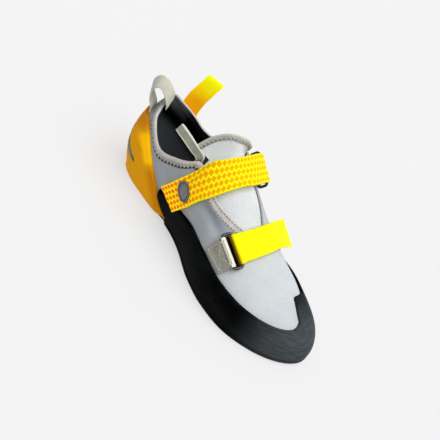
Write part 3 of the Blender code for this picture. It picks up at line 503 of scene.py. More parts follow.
THREAD_SIDES = 6
THREAD_GUIDE = np.array([0.31, 0.52, 0.79])


def add_stitches(name, paths, radius, look):
    """Joined tubes of thread along short paths; no path runs along the guide."""
    points = []
    faces = []
    start = 0
    angle = np.linspace(0, 2 * np.pi, THREAD_SIDES, endpoint=False)
    for path in paths:
        tangent = unit(np.gradient(path, axis=0))
        side = unit(np.cross(tangent, THREAD_GUIDE))
        other = np.cross(tangent, side)
        ring = np.cos(angle)[None, :, None] * side[:, None] + np.sin(angle)[None, :, None] * other[:, None]
        grid = path[:, None] + radius * ring
        faces += tube_faces(grid, start)
        points.append(grid.reshape(-1, 3))
        start += grid.shape[0] * grid.shape[1]
    add_piece(name, np.concatenate(points), faces, [look])


# materials


NO_GLOW = (0.0, 0.0, 0.0)
# sockets of a Mix node that are in use when it mixes colours
MIX_SHARE = 0
MIX_FIRST = 6
MIX_SECOND = 7
MIX_RESULT = 2


class Look:
    """A node material with short ways to add nodes."""

    def __init__(self, name, **sockets):
        self.material = bpy.data.materials.new(name)
        self.material.use_nodes = True
        self.tree = self.material.node_tree
        self.shader = self.tree.nodes["Principled BSDF"]
        for socket, value in sockets.items():
            self.set(socket.replace("_", " ").title().replace("Ior", "IOR"), value)

    def set(self, socket, value):
        self.feed(self.shader.inputs[socket], value)

    def feed(self, socket, value):
        if isinstance(value, bpy.types.NodeSocket):
            self.tree.links.new(value, socket)
        elif isinstance(value, tuple) and socket.type == "RGBA":
            socket.default_value = value + (1.0,)
        else:
            socket.default_value = value

    def node(self, kind, *values, **settings):
        made = self.tree.nodes.new("ShaderNode" + kind)
        for key, value in settings.items():
            setattr(made, key, value)
        for socket, value in zip(made.inputs, values):
            self.feed(socket, value)
        return made

    def math(self, operation, *values):
        return self.node("Math", *values, operation=operation).outputs[0]

    def plus(self, first, second):
        return self.math("ADD", first, second)

    def minus(self, first, second):
        return self.math("SUBTRACT", first, second)

    def times(self, first, second):
        return self.math("MULTIPLY", first, second)

    def over(self, first, second):
        return self.math("DIVIDE", first, second)

    def size(self, value):
        return self.math("ABSOLUTE", value)

    def cloth(self):
        """Millimetres along and across the piece, and its third value."""
        made = self.node("Attribute", attribute_name="cloth")
        self.place = made.outputs["Vector"]
        return self.node("SeparateXYZ", self.place).outputs

    def noise(self, scale, detail=3.0, stretch=(1.0, 1.0, 1.0)):
        """Soft noise per cloth millimetre, about 0 to 1."""
        spread = self.node("VectorMath", self.place, stretch, operation="MULTIPLY").outputs[0]
        made = self.node("TexNoise", spread)
        made.inputs["Scale"].default_value = scale
        made.inputs["Detail"].default_value = detail
        return made.outputs["Fac"]

    def wave(self, value, pitch):
        """Sine of a cloth distance, from -1 to 1."""
        return self.math("SINE", self.times(value, 2 * math.pi / pitch))

    def span(self, value, low, high, to_low=0.0, to_high=1.0):
        made = self.node("MapRange", value, low, high, to_low, to_high)
        made.interpolation_type = "SMOOTHSTEP"
        return made.outputs[0]

    def mix(self, share, first, second):
        made = self.node("Mix", data_type="RGBA")
        self.feed(made.inputs[MIX_SHARE], share)
        self.feed(made.inputs[MIX_FIRST], first)
        self.feed(made.inputs[MIX_SECOND], second)
        return made.outputs[MIX_RESULT]

    def colour(self, value):
        self.set("Base Color", value)

    def relief(self, height, depth, strength):
        """Bump whose unit height is depth millimetres."""
        made = self.node("Bump")
        made.inputs["Strength"].default_value = strength
        made.inputs["Distance"].default_value = depth * MM
        self.feed(made.inputs["Height"], height)
        self.set("Normal", made.outputs[0])


def srgb(red, green, blue):
    """Screen colour as linear values."""
    return tuple(((c / 255 + 0.055) / 1.055) ** 2.4 for c in (red, green, blue))


def knit_look(name, light, dark, wale, course, depth):
    """Fine knit in relief and two yarn greys; painted shade turns it a deeper grey up to 1 of the third
    value, and a painted shadow turns it near black at 2.
    """
    look = Look(name, roughness=0.9, sheen_weight=0.1, sheen_roughness=0.5, specular_ior_level=0.15)
    u, v, painted_shade = look.cloth()
    bent = look.plus(u, look.times(look.wave(v, course), wale * 0.12))
    rib = look.size(look.wave(bent, 2 * wale))
    loops = look.times(look.wave(v, course), 0.25)
    yarn = look.noise(0.55, detail=4.0)
    patch = look.noise(0.06)
    share = look.plus(look.times(yarn, 0.55), look.times(patch, 0.45))
    yarn_colour = look.mix(look.span(share, 0.25, 0.75), dark, light)
    quarter = look.mix(look.math("MINIMUM", painted_shade, 1.0), yarn_colour, SHADED_KNIT)
    look.colour(look.mix(look.span(painted_shade, 1.0, 2.0), quarter, PAINTED_SHADOW_KNIT))
    height = look.plus(look.plus(rib, loops), look.times(yarn, 0.4))
    look.relief(height, depth, strength=0.6)
    return look.material


def lining_look():
    """Dark lining, greyer where the third value says: its paler heel pad, and painted light low on the walls
    and at the front.
    """
    look = Look("lining_cloth", roughness=0.95, specular_ior_level=0.03)
    u, v, pale = look.cloth()
    weave = look.times(look.wave(u, 0.9), look.wave(v, 0.9))
    fleck = look.noise(0.7)
    base = look.mix(look.span(fleck, 0.3, 0.7), srgb(4, 5, 5), srgb(10, 11, 11))
    # grey heel pad, and painted light low down and at the front
    look.colour(look.mix(pale, base, srgb(168, 174, 180)))
    look.relief(look.plus(weave, fleck), depth=0.12, strength=0.5)
    return look.material


def black_rubber_look():
    """Sticky rubber: matt, faint mould grain, paler where the third value says: scuffs together with painted
    sheen towards the toe.
    """
    look = Look("sticky_rubber", specular_ior_level=0.02)
    _, _, toe = look.cloth()
    grain = look.noise(1.1, detail=4.0)
    smear = look.noise(0.09, detail=4.0, stretch=(0.35, 1.0, 0.0))
    streak = look.noise(0.9, detail=5.0, stretch=(0.1, 1.0, 0.0))
    dust_and_sheen = look.span(streak, 0.35, 0.75, 0.5, 0.85)
    scuff_and_sheen = look.times(dust_and_sheen, toe)
    wear_and_sheen = look.plus(look.times(look.span(smear, 0.4, 0.7), 0.06), scuff_and_sheen)
    # paler grey: toe scuffs and painted sheen, plus random rubbed patches
    look.colour(look.mix(wear_and_sheen, srgb(4, 5, 5), srgb(84, 90, 94)))
    look.set("Roughness", look.span(smear, 0.3, 0.75, 0.42, 0.6))
    look.relief(look.plus(look.times(grain, 0.6), streak), depth=0.07, strength=0.5)
    return look.material


# painted light: how strongly the cup's highlight band glows
CUP_HIGHLIGHT_GLOW = 0.3
HIGHLIGHT_GOLD = srgb(255, 188, 0)


def amber_rubber_look():
    """Amber rubber, gold up to 1 of the third value, a glowing painted highlight at 2, darker where it is
    rubbed.
    """
    look = Look("amber_rubber", roughness=0.6, specular_ior_level=0.03, emission_strength=CUP_HIGHLIGHT_GLOW)
    _, _, gold = look.cloth()
    smear = look.noise(0.08, detail=4.0, stretch=(0.5, 1.0, 0.0))
    grain = look.noise(1.2, detail=4.0)
    base = look.mix(look.math("MINIMUM", gold, 1.0), srgb(226, 144, 0), srgb(248, 174, 0))
    highlight = look.span(gold, 1.0, 2.0)
    base = look.mix(highlight, base, HIGHLIGHT_GOLD)
    look.set("Emission Color", look.mix(highlight, NO_GLOW, HIGHLIGHT_GOLD))
    rubbed = look.span(smear, 0.5, 0.75, 0.0, 0.35)
    look.colour(look.mix(rubbed, base, srgb(200, 138, 4)))
    look.relief(look.plus(grain, look.times(smear, 3.0)), depth=0.06, strength=0.5)
    return look.material


def inlay_look():
    """Plain grey rubber, darker where the third value says."""
    look = Look("grey_inlay", specular_ior_level=0.3)
    _, _, dark = look.cloth()
    fleck = look.noise(0.8, detail=4.0)
    plain = look.mix(look.span(fleck, 0.3, 0.7), srgb(116, 117, 114), srgb(148, 149, 145))
    look.colour(look.mix(dark, plain, srgb(52, 52, 50)))
    look.set("Roughness", look.span(fleck, 0.3, 0.7, 0.5, 0.7))
    look.relief(fleck, depth=0.05, strength=0.5)
    return look.material


# painted highlight on the webbing's roll and a painted shadow line beside it: colours, and distances from the
# fold
PAINTED_HIGHLIGHT_FOLD = srgb(240, 237, 220)
PAINTED_SHADOW_FOLD = srgb(104, 103, 96)
FOLD_HIGHLIGHT = 4.6
FOLD_SHADOW = 5.2
FOLD_PLAIN = 7.4
# painted highlight along a tape's edges: its colour and how fast it comes in
PAINTED_HIGHLIGHT_EDGE = srgb(226, 226, 214)
HIGHLIGHT_EDGE_RAMP = 0.5


def woven_height(look, u, v, pitch):
    """Plain weave: over one thread, under the next."""
    over = look.times(look.wave(u, 2 * pitch), look.wave(v, 2 * pitch))
    return look.plus(over, look.times(look.noise(0.9), 0.8))


def tape_look(name, light, dark, pitch, rough=0.85, fold=None, contrast=0.3, highlight_edge=None):
    """Woven tape with thread-wise colour; if a fold is given, a painted highlight round it with a painted
    shadow line beside that; if an edge distance is given, a painted highlight past it towards both edges.
    """
    look = Look(name, roughness=rough, sheen_weight=0.1, specular_ior_level=0.15)
    u, v, _ = look.cloth()
    weave = woven_height(look, u, v, pitch)
    soil = look.noise(0.12)
    share = look.plus(look.times(weave, contrast), soil)
    colour = look.mix(look.span(share, 0.3, 0.8), dark, light)
    if highlight_edge is not None:
        # painted highlight towards both edges
        past = look.span(look.size(v), highlight_edge, highlight_edge + HIGHLIGHT_EDGE_RAMP)
        colour = look.mix(past, colour, PAINTED_HIGHLIGHT_EDGE)
    if fold is not None:
        # painted shadow line, then painted highlight round the fold
        away = look.size(look.minus(u, fold))
        colour = look.mix(look.span(away, FOLD_SHADOW, FOLD_PLAIN, 1.0, 0.0), colour, PAINTED_SHADOW_FOLD)
        colour = look.mix(look.span(away, FOLD_HIGHLIGHT, FOLD_SHADOW, 1.0, 0.0), colour, PAINTED_HIGHLIGHT_FOLD)
    look.colour(colour)
    look.relief(weave, depth=0.14, strength=0.7)
    return look.material


# heights on the bindings from their outer lower edge: the zigzag's start and size, the paler rim, the inside
ZIGZAG_PITCH = 3.8
ZIGZAG_LOW = 0.6
ZIGZAG_HIGH = 3.3
RIM_LOW = 3.7
RIM_HIGH = 5.2
BACK_LOW = 9.0
BACK_HIGH = 10.2


def binding_look():
    """Knit tape over an edge: painted shade in the wells between the legs of its zigzag seam, lining colours
    inside.
    """
    look = Look("binding_tape", roughness=0.88, sheen_weight=0.06, specular_ior_level=0.12)
    u, v, seam = look.cloth()
    weave = woven_height(look, u, v, 0.45)
    soil = look.noise(0.15)
    share = look.plus(look.times(weave, 0.25), soil)
    lower = look.mix(look.span(share, 0.3, 0.8), srgb(158, 155, 150), srgb(186, 182, 175))
    rim = look.mix(look.span(share, 0.3, 0.8), srgb(194, 191, 185), srgb(220, 217, 211))
    plain = look.minus(1.0, seam)
    base = look.mix(look.math("MAXIMUM", look.span(v, RIM_LOW, RIM_HIGH), plain), lower, rim)
    turn = look.math("FRACT", look.over(u, ZIGZAG_PITCH))
    from_peak = look.size(look.minus(look.times(turn, 2.0), 1.0))
    peak = look.minus(1.0, from_peak)
    height = look.over(look.minus(v, ZIGZAG_LOW), ZIGZAG_HIGH)
    inside = look.span(look.minus(peak, height), 0.05, 0.22)
    shaded_well = look.times(inside, seam)
    # painted shade in the zigzag's wells
    outside = look.mix(shaded_well, base, srgb(62, 62, 62))
    lining = look.mix(seam, srgb(10, 11, 12), srgb(136, 143, 150))
    look.colour(look.mix(look.span(v, BACK_LOW, BACK_HIGH), outside, lining))
    look.relief(look.minus(weave, look.times(shaded_well, 2.0)), depth=0.14, strength=0.7)
    return look.material


# figures of the upper strap: rows of staggered lozenges
LOZENGE_ROW = STRAP_WIDTH / 5
LOZENGE_PITCH = 4.4
LOZENGE_FULL = 1.02
RED_START = 0.15
# painted light: how strongly the upper strap glows
STRAP_PAINTED_GLOW = 0.3


def lozenge_strap_look(length, fold):
    """Yellow strap with orange lozenges, redder at its free end than at its fold; it glows as painted light,
    more towards its free end.
    """
    look = Look("lozenge_strap", roughness=0.75, specular_ior_level=0.1, emission_strength=STRAP_PAINTED_GLOW)
    u, v, _ = look.cloth()
    row = look.plus(look.over(v, LOZENGE_ROW), 0.5)
    odd = look.times(look.math("MODULO", look.size(look.math("FLOOR", row)), 2.0), 0.5)
    step = look.plus(look.over(u, LOZENGE_PITCH), odd)
    off_u = look.size(look.minus(look.math("FRACT", step), 0.5))
    off_v = look.size(look.minus(look.math("FRACT", row), 0.5))
    reach = look.times(look.plus(off_u, off_v), 2.0)
    figure = look.span(reach, LOZENGE_FULL - 0.12, LOZENGE_FULL + 0.1, 1.0, 0.0)
    red = look.span(u, fold + RED_START * (length - fold), length)
    ground = look.mix(red, srgb(255, 246, 0), srgb(255, 236, 0))
    shape = look.mix(red, srgb(236, 192, 0), srgb(255, 112, 0))
    fleck = look.noise(0.9)
    figure = look.times(figure, look.span(fleck, 0.2, 0.5, 0.7, 1.0))
    colour = look.mix(figure, ground, shape)
    look.colour(colour)
    # painted light: glow in the strap's own colour, growing towards its free end
    look.set("Emission Color", look.mix(red, NO_GLOW, colour))
    weave = woven_height(look, u, v, 0.55)
    look.relief(look.plus(weave, look.times(figure, 0.7)), depth=0.14, strength=0.6)
    return look.material


# painted shade on the lower strap beside its fold: distances from the fold where it is full and gone
SHADE_FULL = 1.6
SHADE_GONE = 3.4


def yellow_strap_look(fold):
    """Yellow strap, with painted brown shade where it turns round its ring."""
    look = Look("yellow_strap", roughness=0.7, specular_ior_level=0.1)
    u, v, _ = look.cloth()
    weave = woven_height(look, u, v, 0.5)
    soil = look.noise(0.1)
    share = look.plus(look.times(weave, 0.12), soil)
    plain = look.mix(look.span(share, 0.3, 0.75), srgb(255, 240, 0), srgb(255, 252, 0))
    away = look.size(look.minus(u, fold))
    # painted brown shade beside the fold
    look.colour(look.mix(look.span(away, SHADE_FULL, SHADE_GONE, 0.95, 0.0), plain, srgb(130, 88, 0)))
    look.relief(weave, depth=0.13, strength=0.6)
    return look.material


TAPE_PAINTED_GLOW = 0.3


def side_loop_look(length):
    """Fluorescent yellow tape, orange at its sewn ends, glowing in its own colour as painted light."""
    look = Look("fade_tape", roughness=0.72, specular_ior_level=0.1, emission_strength=TAPE_PAINTED_GLOW)
    u, v, _ = look.cloth()
    weave = woven_height(look, u, v, 0.5)
    from_tip = look.size(look.minus(u, length / 2))
    fade = look.span(look.plus(from_tip, look.times(look.noise(0.1), 6.0)), 6.0, 34.0)
    colour = look.mix(fade, srgb(255, 250, 8), srgb(252, 172, 0))
    look.colour(colour)
    # painted light: glow in the tape's own colour
    look.set("Emission Color", colour)
    look.relief(weave, depth=0.13, strength=0.6)
    return look.material


def metal_look():
    look = Look("dark_wire", metallic=1.0)
    look.cloth()
    smear = look.noise(0.6, detail=4.0, stretch=(0.3, 1.0, 1.0))
    look.colour(look.mix(look.span(smear, 0.35, 0.7), srgb(70, 69, 68), srgb(98, 96, 94)))
    look.set("Roughness", look.span(smear, 0.3, 0.7, 0.3, 0.45))
    look.relief(smear, depth=0.03, strength=0.4)
    return look.material


def thread_look(name, light, dark):
    look = Look(name, roughness=0.8, sheen_weight=0.1, specular_ior_level=0.25)
    look.place = look.node("TexCoord").outputs["Object"]
    fleck = look.noise(900.0)
    look.colour(look.mix(look.span(fleck, 0.3, 0.7), dark, light))
    look.relief(fleck, depth=0.05, strength=0.6)
    return look.material


FLOOR_GLOW = 0.6


def floor_look():
    """Pale card lit from below as well as from above, so that shadows stay faint."""
    look = Look("floor_card", roughness=0.9, specular_ior_level=0.1, emission_color=(1.0, 1.0, 1.0),
                emission_strength=FLOOR_GLOW)
    look.place = look.node("TexCoord").outputs["Object"]
    soft = look.noise(2.0)
    look.colour(look.mix(look.span(soft, 0.2, 0.8), srgb(140, 140, 140), srgb(142, 142, 143)))
    look.relief(look.noise(700.0, detail=2.0), depth=0.02, strength=0.2)
    return look.material


# painted shade and painted shadow on the knit: a deeper grey, and near black
SHADED_KNIT = srgb(146, 154, 163)
PAINTED_SHADOW_KNIT = srgb(30, 27, 24)
KNIT = knit_look("grey_knit", srgb(211, 216, 219), srgb(197, 201, 205), wale=1.25, course=1.0, depth=0.12)
TONGUE_KNIT = knit_look("tongue_knit", srgb(225, 229, 231), srgb(211, 215, 218), wale=1.9, course=0.9,
                        depth=0.17)
LINING = lining_look()
BLACK = black_rubber_look()
AMBER = amber_rubber_look()
INLAY = inlay_look()
BINDING = binding_look()
BEIGE = tape_look("beige_tape", srgb(188, 186, 172), srgb(156, 154, 141), pitch=0.6)
PULL_TAPE = tape_look("pull_tape", srgb(214, 214, 200), srgb(186, 185, 171), pitch=0.6)
BOARD = tape_look("board_cloth", srgb(126, 131, 136), srgb(100, 104, 108), pitch=0.8, rough=0.95)
METAL = metal_look()
PALE_THREAD = thread_look("pale_thread", srgb(222, 219, 208), srgb(192, 188, 177))
DARK_THREAD = thread_look("dark_thread", srgb(64, 63, 61), srgb(42, 41, 40))

# outsole and insole

SOLE_ROUND = 1.1
SOLE_TOP_ROUND = 0.35
SOLE_ACROSS = 16
SOLE_SCUFF_AND_SHEEN = 0.6
INSOLE_ROUND = 0.4
PLATE_ARC = 5
# where the rubber turns paler towards the toe: real scuffs together with painted sheen
TOE_SCUFF_AND_SHEEN_START = 203.0
TOE_SCUFF_AND_SHEEN_FULL = 245.0


def toe_scuff_and_sheen(points):
    return smooth_step((points[:, 0] - TOE_SCUFF_AND_SHEEN_START) / (TOE_SCUFF_AND_SHEEN_FULL - TOE_SCUFF_AND_SHEEN_START))


def plate(t, out, low, high, low_round, high_round):
    """Plate under the foot with round edges: its outline follows the feather line, its faces foot_z."""
    x, y, nx, ny = feather(t)
    turn = np.linspace(0, np.pi / 2, PLATE_ARC)
    levels = [(high - high_round * (1 - np.sin(a)), high_round * (1 - np.cos(a))) for a in turn[::-1]]
    levels += [(low + low_round * (1 - np.sin(a)), low_round * (1 - np.cos(a))) for a in turn]
    rings = []
    for level, inset in levels:
        rx = x + nx * (out - inset)
        ry = y + ny * (out - inset)
        rings.append(np.stack([rx, ry, foot_z(rx) + level], -1))
    grid = np.stack(rings, 1)
    index = number(grid)
    faces = grid_faces(index, closed=True)
    points = [grid.reshape(-1, 3)]
    count = index.size
    half = len(t) // 2
    share = np.linspace(0, 1, SOLE_ACROSS + 1)[1:-1]
    for ring, level, flip in ((0, high, True), (len(levels) - 1, low, False)):
        rows = [np.full(SOLE_ACROSS + 1, index[0, ring])]
        for i in range(1, half):
            a, b = index[i, ring], index[-i, ring]
            middle = grid[i, ring] + (grid[-i, ring] - grid[i, ring]) * share[:, None]
            middle[:, 2] = foot_z(middle[:, 0]) + level
            points.append(middle)
            rows.append(np.concatenate([[a], count + np.arange(len(share)), [b]]))
            count += len(share)
        rows.append(np.full(SOLE_ACROSS + 1, index[half, ring]))
        faces += grid_faces(np.array(rows), flip=flip)
    points = np.concatenate(points)
    cloth = np.stack([points[:, 0], points[:, 1] + points[:, 2], toe_scuff_and_sheen(points) * SOLE_SCUFF_AND_SHEEN], 1)
    return points, faces, cloth


def sole_out(t):
    """Outsole's reach past the feather line: none under the heel cup, which wraps down over it."""
    return SOLE_OUT * smooth_step((section(t) - CUP_WRAP_END) / SOLE_OUT_RAMP)


def make_sole():
    t = np.arange(0, LOOP * FINE) / FINE
    low = -SOLE_GAP - SOLE_THICK
    points, faces, cloth = plate(t, sole_out(t), low, -SOLE_GAP, SOLE_ROUND, SOLE_TOP_ROUND)
    add_piece("outsole_rubber", points, faces, [BLACK], ["outsole"], cloth)
    high = SOLE_GAP + INSOLE_THICK
    points, faces, cloth = plate(t, -INSOLE_IN, SOLE_GAP, high, INSOLE_ROUND, INSOLE_ROUND)
    add_piece("insole_cloth", points, faces, [BOARD], ["insole"], cloth)


# upper

# creases of the knit: loop parameter and rise of a start, a middle and an end, then half width and depth
CREASES = (
    ("beside_throat", (6.5, 46.0), (7.3, 50.0), (8.2, 46.0), 4.5, 1.6),
    ("quarter_fold", (3.3, 42.0), (4.0, 36.0), (4.6, 31.0), 5.0, 0.8),
    ("collar_pull", (4.4, 47.0), (4.7, 42.0), (5.2, 38.0), 3.5, 0.7),
    ("vamp_bend_lateral", (9.3, 36.0), (9.7, 44.0), (10.0, 52.0), 5.5, 0.6),
    ("vamp_bend_low", (10.1, 33.0), (10.4, 42.0), (10.6, 50.0), 5.0, 0.45),
    ("medial_arch", (18.4, 36.0), (19.2, 42.0), (20.2, 40.0), 6.0, 1.0),
    ("medial_ball", (16.3, 40.0), (16.8, 48.0), (17.2, 54.0), 5.5, 0.7),
    ("medial_quarter", (21.6, 38.0), (22.3, 45.0), (22.8, 52.0), 5.0, 0.8),
)
CREASE_SAMPLES = 24
CREASE_POWER = 0.7
CREASE_CLEAR = 5.5
CREASE_FADE = 4.0
SHOULDER_SHARE = 0.4
SHOULDER_PLACE = 1.7
UPPER_COLUMNS = 52
UPPER_UNDER_BINDING = 1.4
HEM_COLUMNS = 12
THROAT_CLOSE = 8.75
# paler parts of the lining, its heel pad and painted light: how pale, where along the shoe, how far down, and
# over what length they fade
PAD_PALE = 0.85
PAD_END = 1.7
PAD_DOWN = 22.0
PAD_FADE = 16.0
# painted light low on the lining's walls and over its front part
WALL_PAINTED_LIGHT = 0.26
WALL_PAINTED_LIGHT_DOWN = 26.0
WALL_PAINTED_LIGHT_FADE = 14.0
FORE_PAINTED_LIGHT = 0.75
FORE_PAINTED_LIGHT_START = 52.5
FORE_PAINTED_LIGHT_RAMP = 3.0
# painted shade on the knit: how deep, the section numbers where they start or end, and their fades
QUARTER_PAINTED_SHADE = 0.62
QUARTER_PAINTED_SHADE_MEDIAL = 0.4
QUARTER_END = 9.6
QUARTER_END_MEDIAL = 10.1
QUARTER_FADE = 2.4
THROAT_PAINTED_SHADE = 0.34
THROAT_PAINTED_SHADE_FIRST = 5.6
THROAT_PAINTED_SHADE_RAMP = 0.5
THROAT_PAINTED_SHADE_REACH = 18.0
THROAT_PAINTED_SHADE_FADE = 8.0
# painted shadow inside the lower ring: a line across it, its reach, and its value on the line
RING_SHADE_LINE = ((152.0, -27.1, 51.2), (171.0, -27.9, 43.8))
RING_SHADE_REACH = 3.2
RING_SHADE = 2.0


def throat_drop(t):
    """Drop of the upper's edge, brought smoothly to the ridge at the throat's closed end."""
    s = section(t)
    close = smooth_step((THROAT_END - s) / (THROAT_END - THROAT_CLOSE))
    return edge_drop(t) * np.where(s > THROAT_CLOSE, close, 1)


def crease_lift(points):
    """Soft trough with a low shoulder at each side, for every crease."""
    lift = np.zeros(points.shape[:-1])
    for _, start, middle, end, width, depth in CREASES:
        line = open_spline([start, middle, end], np.linspace(0, 2, CREASE_SAMPLES))
        share = (line[:, 1] / last_length(line[:, 0]))[:, None]
        path = last_points(line[:, 0], share)[:, 0]
        best = np.full(lift.shape, np.inf)
        strength = np.zeros(lift.shape)
        for k, p in enumerate(path):
            distance = np.linalg.norm(points - p, axis=-1)
            closer = distance < best
            best = np.where(closer, distance, best)
            swell = np.sin(np.pi * (k + 0.5) / CREASE_SAMPLES) ** CREASE_POWER
            strength = np.where(closer, swell, strength)
        trough = np.exp(-(best / width) ** 2)
        shoulder = np.exp(-((best - SHOULDER_PLACE * width) / width) ** 2)
        lift += depth * strength * (SHOULDER_SHARE * shoulder - trough)
    return lift


def lining_pale(t, down, x):
    """Where the lining is paler: its heel pad near the top edge; painted light low down and over all of its
    front part.
    """
    s = section(t)[:, None]
    pad = np.clip(PAD_END - s, 0, 1) * smooth_step((PAD_DOWN - down) / PAD_FADE)
    low = WALL_PAINTED_LIGHT * smooth_step((down - WALL_PAINTED_LIGHT_DOWN) / WALL_PAINTED_LIGHT_FADE)
    fore = FORE_PAINTED_LIGHT * smooth_step((x - FORE_PAINTED_LIGHT_START) / FORE_PAINTED_LIGHT_RAMP)
    return np.maximum(PAD_PALE * pad, np.maximum(low, fore))


def quarter_painted_shade(t, down):
    """Painted shade: a deeper grey on the quarters behind the vamp, deepest beside the lateral throat edge.
    """
    s = section(t)
    end = np.where(is_medial(t), QUARTER_END_MEDIAL, QUARTER_END)
    full = np.where(is_medial(t), QUARTER_PAINTED_SHADE_MEDIAL, QUARTER_PAINTED_SHADE)
    quarter = full * smooth_step((end - s) / QUARTER_FADE)
    beside = smooth_step((s - THROAT_PAINTED_SHADE_FIRST) / THROAT_PAINTED_SHADE_RAMP) * ~is_medial(t)
    beside = beside * smooth_step((THROAT_END - s) / THROAT_PAINTED_SHADE_RAMP)
    near = smooth_step((THROAT_PAINTED_SHADE_REACH - down) / THROAT_PAINTED_SHADE_FADE)
    return quarter[:, None] + THROAT_PAINTED_SHADE * beside[:, None] * near


def ring_shade(points):
    """Painted shadow on the knit inside the lower ring, round a line across it; past 1 it turns dark."""
    start, end = np.array(RING_SHADE_LINE)
    along = np.clip((points - start) @ (end - start) / ((end - start) @ (end - start)), 0, 1)
    distance = np.linalg.norm(points - start - along[..., None] * (end - start), axis=-1)
    return RING_SHADE * smooth_step(2 - distance / RING_SHADE_REACH)


def join_ridge(points, normals, is_open):
    """Brings the two sides together along the ridge, where the upper is closed."""
    for i in range(1, len(points) // 2):
        if not is_open[i]:
            middle = (points[i, -1] + points[-i, -1]) / 2
            mean = unit(normals[i, -1] + normals[-i, -1])
            points[i, -1] = points[-i, -1] = middle
            normals[i, -1] = normals[-i, -1] = mean


def upper_index(points, is_open):
    """Vertex numbers of both skins: they share the open edge, and the two sides share the ridge."""
    front = number(points)
    back = front + front.size
    back[is_open, -1] = front[is_open, -1]
    for i in range(len(points) // 2 + 1, len(points)):
        if not is_open[i]:
            front[i, -1] = front[-i, -1]
            back[i, -1] = back[-i, -1]
    return front, back


def make_upper():
    t = np.arange(0, LOOP * FINE) / FINE
    length = last_length(t)
    s = section(t)
    is_open = s < THROAT_END
    bound = is_open & ~(is_medial(t) & (s > BINDING_MEDIAL_END))
    top = length - throat_drop(t) - np.where(bound, UPPER_UNDER_BINDING, 0)
    radius = UPPER_WALL / 2
    near = radius * EDGE_STEPS[::-1]
    body = np.linspace(0, 1, UPPER_COLUMNS)[None, :] * (top - radius)[:, None]
    rise = np.concatenate([body, top[:, None] - near[None, 1:]], 1)
    down = top[:, None] - rise
    points, normals = last_grid(t, rise / length[:, None])
    join_ridge(points, normals, is_open)
    lift = crease_lift(points) * smooth_step((down - CREASE_CLEAR) / CREASE_FADE)
    full = np.where(is_open[:, None], round_edge(down, radius), 1.0)
    centre = points + normals * (lift - radius)[..., None]
    outer = centre + normals * (radius * full)[..., None]
    inner = centre - normals * (radius * full)[..., None]
    front, back = upper_index(points, is_open)
    foot = np.stack([front[:, 0], back[:, 0]], 1)
    outside = grid_faces(front, closed=True)
    inside = grid_faces(back, closed=True, flip=True)
    under = grid_faces(foot, closed=True, flip=True)
    run = np.broadcast_to(loop_run(t)[:, None], rise.shape)
    # painted shade on the quarters and painted shadow inside the lower ring, carried as the knit's third
    # value
    painted_shade = np.maximum(quarter_painted_shade(t, down), ring_shade(points))
    cloth_out = np.stack([run, rise, painted_shade], -1)
    hemmed = (is_open & ~bound)[:, None] & (np.arange(rise.shape[1]) >= rise.shape[1] - 1 - HEM_COLUMNS)
    pale = np.where(hemmed, 0, lining_pale(t, down, points[..., 0]))
    cloth_in = np.stack([run, rise, pale], -1)
    faces = outside + inside + under
    looks = [0] * len(outside) + np.where(hemmed[:, :-1], 0, 1).ravel().tolist() + [1] * len(under)
    cloth = skins(cloth_out, cloth_in)
    add_piece("upper_knit", skins(outer, inner), faces, [KNIT, LINING], ["upper"], cloth, looks)


# bands of rubber on the upper

BAND_COLUMNS = 30
BAND_SEAT = 0.12
UPRIGHT_RISE = 6.0
SKIRT_ROUND = 0.3


def upright(t, rise, normals):
    """Normals turned level near the feather, where the band leaves the last."""
    _, _, nx, ny = feather(t)
    level = np.stack([nx, ny, np.zeros_like(nx)], -1)[:, None]
    share = smooth_step(rise / UPRIGHT_RISE)[..., None]
    return unit(level * (1 - share) + normals * share)


def skirt(t, wrap, outs):
    """Columns of points below the feather: pairs of reach out from it and height above the wrapped edge."""
    x, y, nx, ny = feather(t)
    columns = []
    for out, lift in outs:
        columns.append(np.stack([x + nx * out, y + ny * out, foot_z(x) - wrap + lift], -1))
    return np.stack(columns, 1)


def band(t, low, high, thick, round_top, extra=None, wrap=None):
    """Band of the last between two rises, closed, with round upper and end edges, and a skirt if it wraps."""
    length = last_length(t)
    radius = np.minimum(round_top, 0.5 * (high - low))
    body = low[:, None] + np.linspace(0, 1, BAND_COLUMNS)[None, :] * (high - radius - low)[:, None]
    near = radius[:, None] * EDGE_STEPS[None, ::-1]
    rise = np.concatenate([body, high[:, None] - near[:, 1:]], 1)
    points, normals = last_grid(t, rise / length[:, None])
    run = loop_run(t)
    from_end = np.minimum(run - run[0], run[-1] - run)[:, None]
    distance = np.minimum(high[:, None] - rise, from_end)
    height = thick * round_edge(distance, radius[:, None])
    if extra is not None:
        height = height + extra(t, rise, high[:, None] - rise)
    if wrap is not None:
        normals = upright(t, rise, normals)
    outer = points + normals * (BAND_SEAT + height)[..., None]
    inner = points + normals * BAND_SEAT
    for skin in (outer, inner):
        skin[..., 2] = np.maximum(skin[..., 2], foot_z(skin[..., 0]))
    if wrap is not None:
        full = BAND_SEAT + thick
        outer = np.concatenate([skirt(t, wrap, ((full - SKIRT_ROUND, 0.0), (full, SKIRT_ROUND))), outer], 1)
        inner = np.concatenate([skirt(t, wrap, ((BAND_SEAT, 0.0), (BAND_SEAT, SKIRT_ROUND))), inner], 1)
        below = np.stack([-wrap, SKIRT_ROUND - wrap], 1)
        rise = np.concatenate([below, rise], 1)
    front = number(outer)
    back = front + front.size
    back[:, -1] = front[:, -1]
    back[0] = front[0]
    back[-1] = front[-1]
    faces = grid_faces(front) + grid_faces(back, flip=True)
    faces += grid_faces(np.stack([front[:, 0], back[:, 0]], 1), flip=True)
    return outer, inner, faces, np.broadcast_to(run[:, None], rise.shape), rise


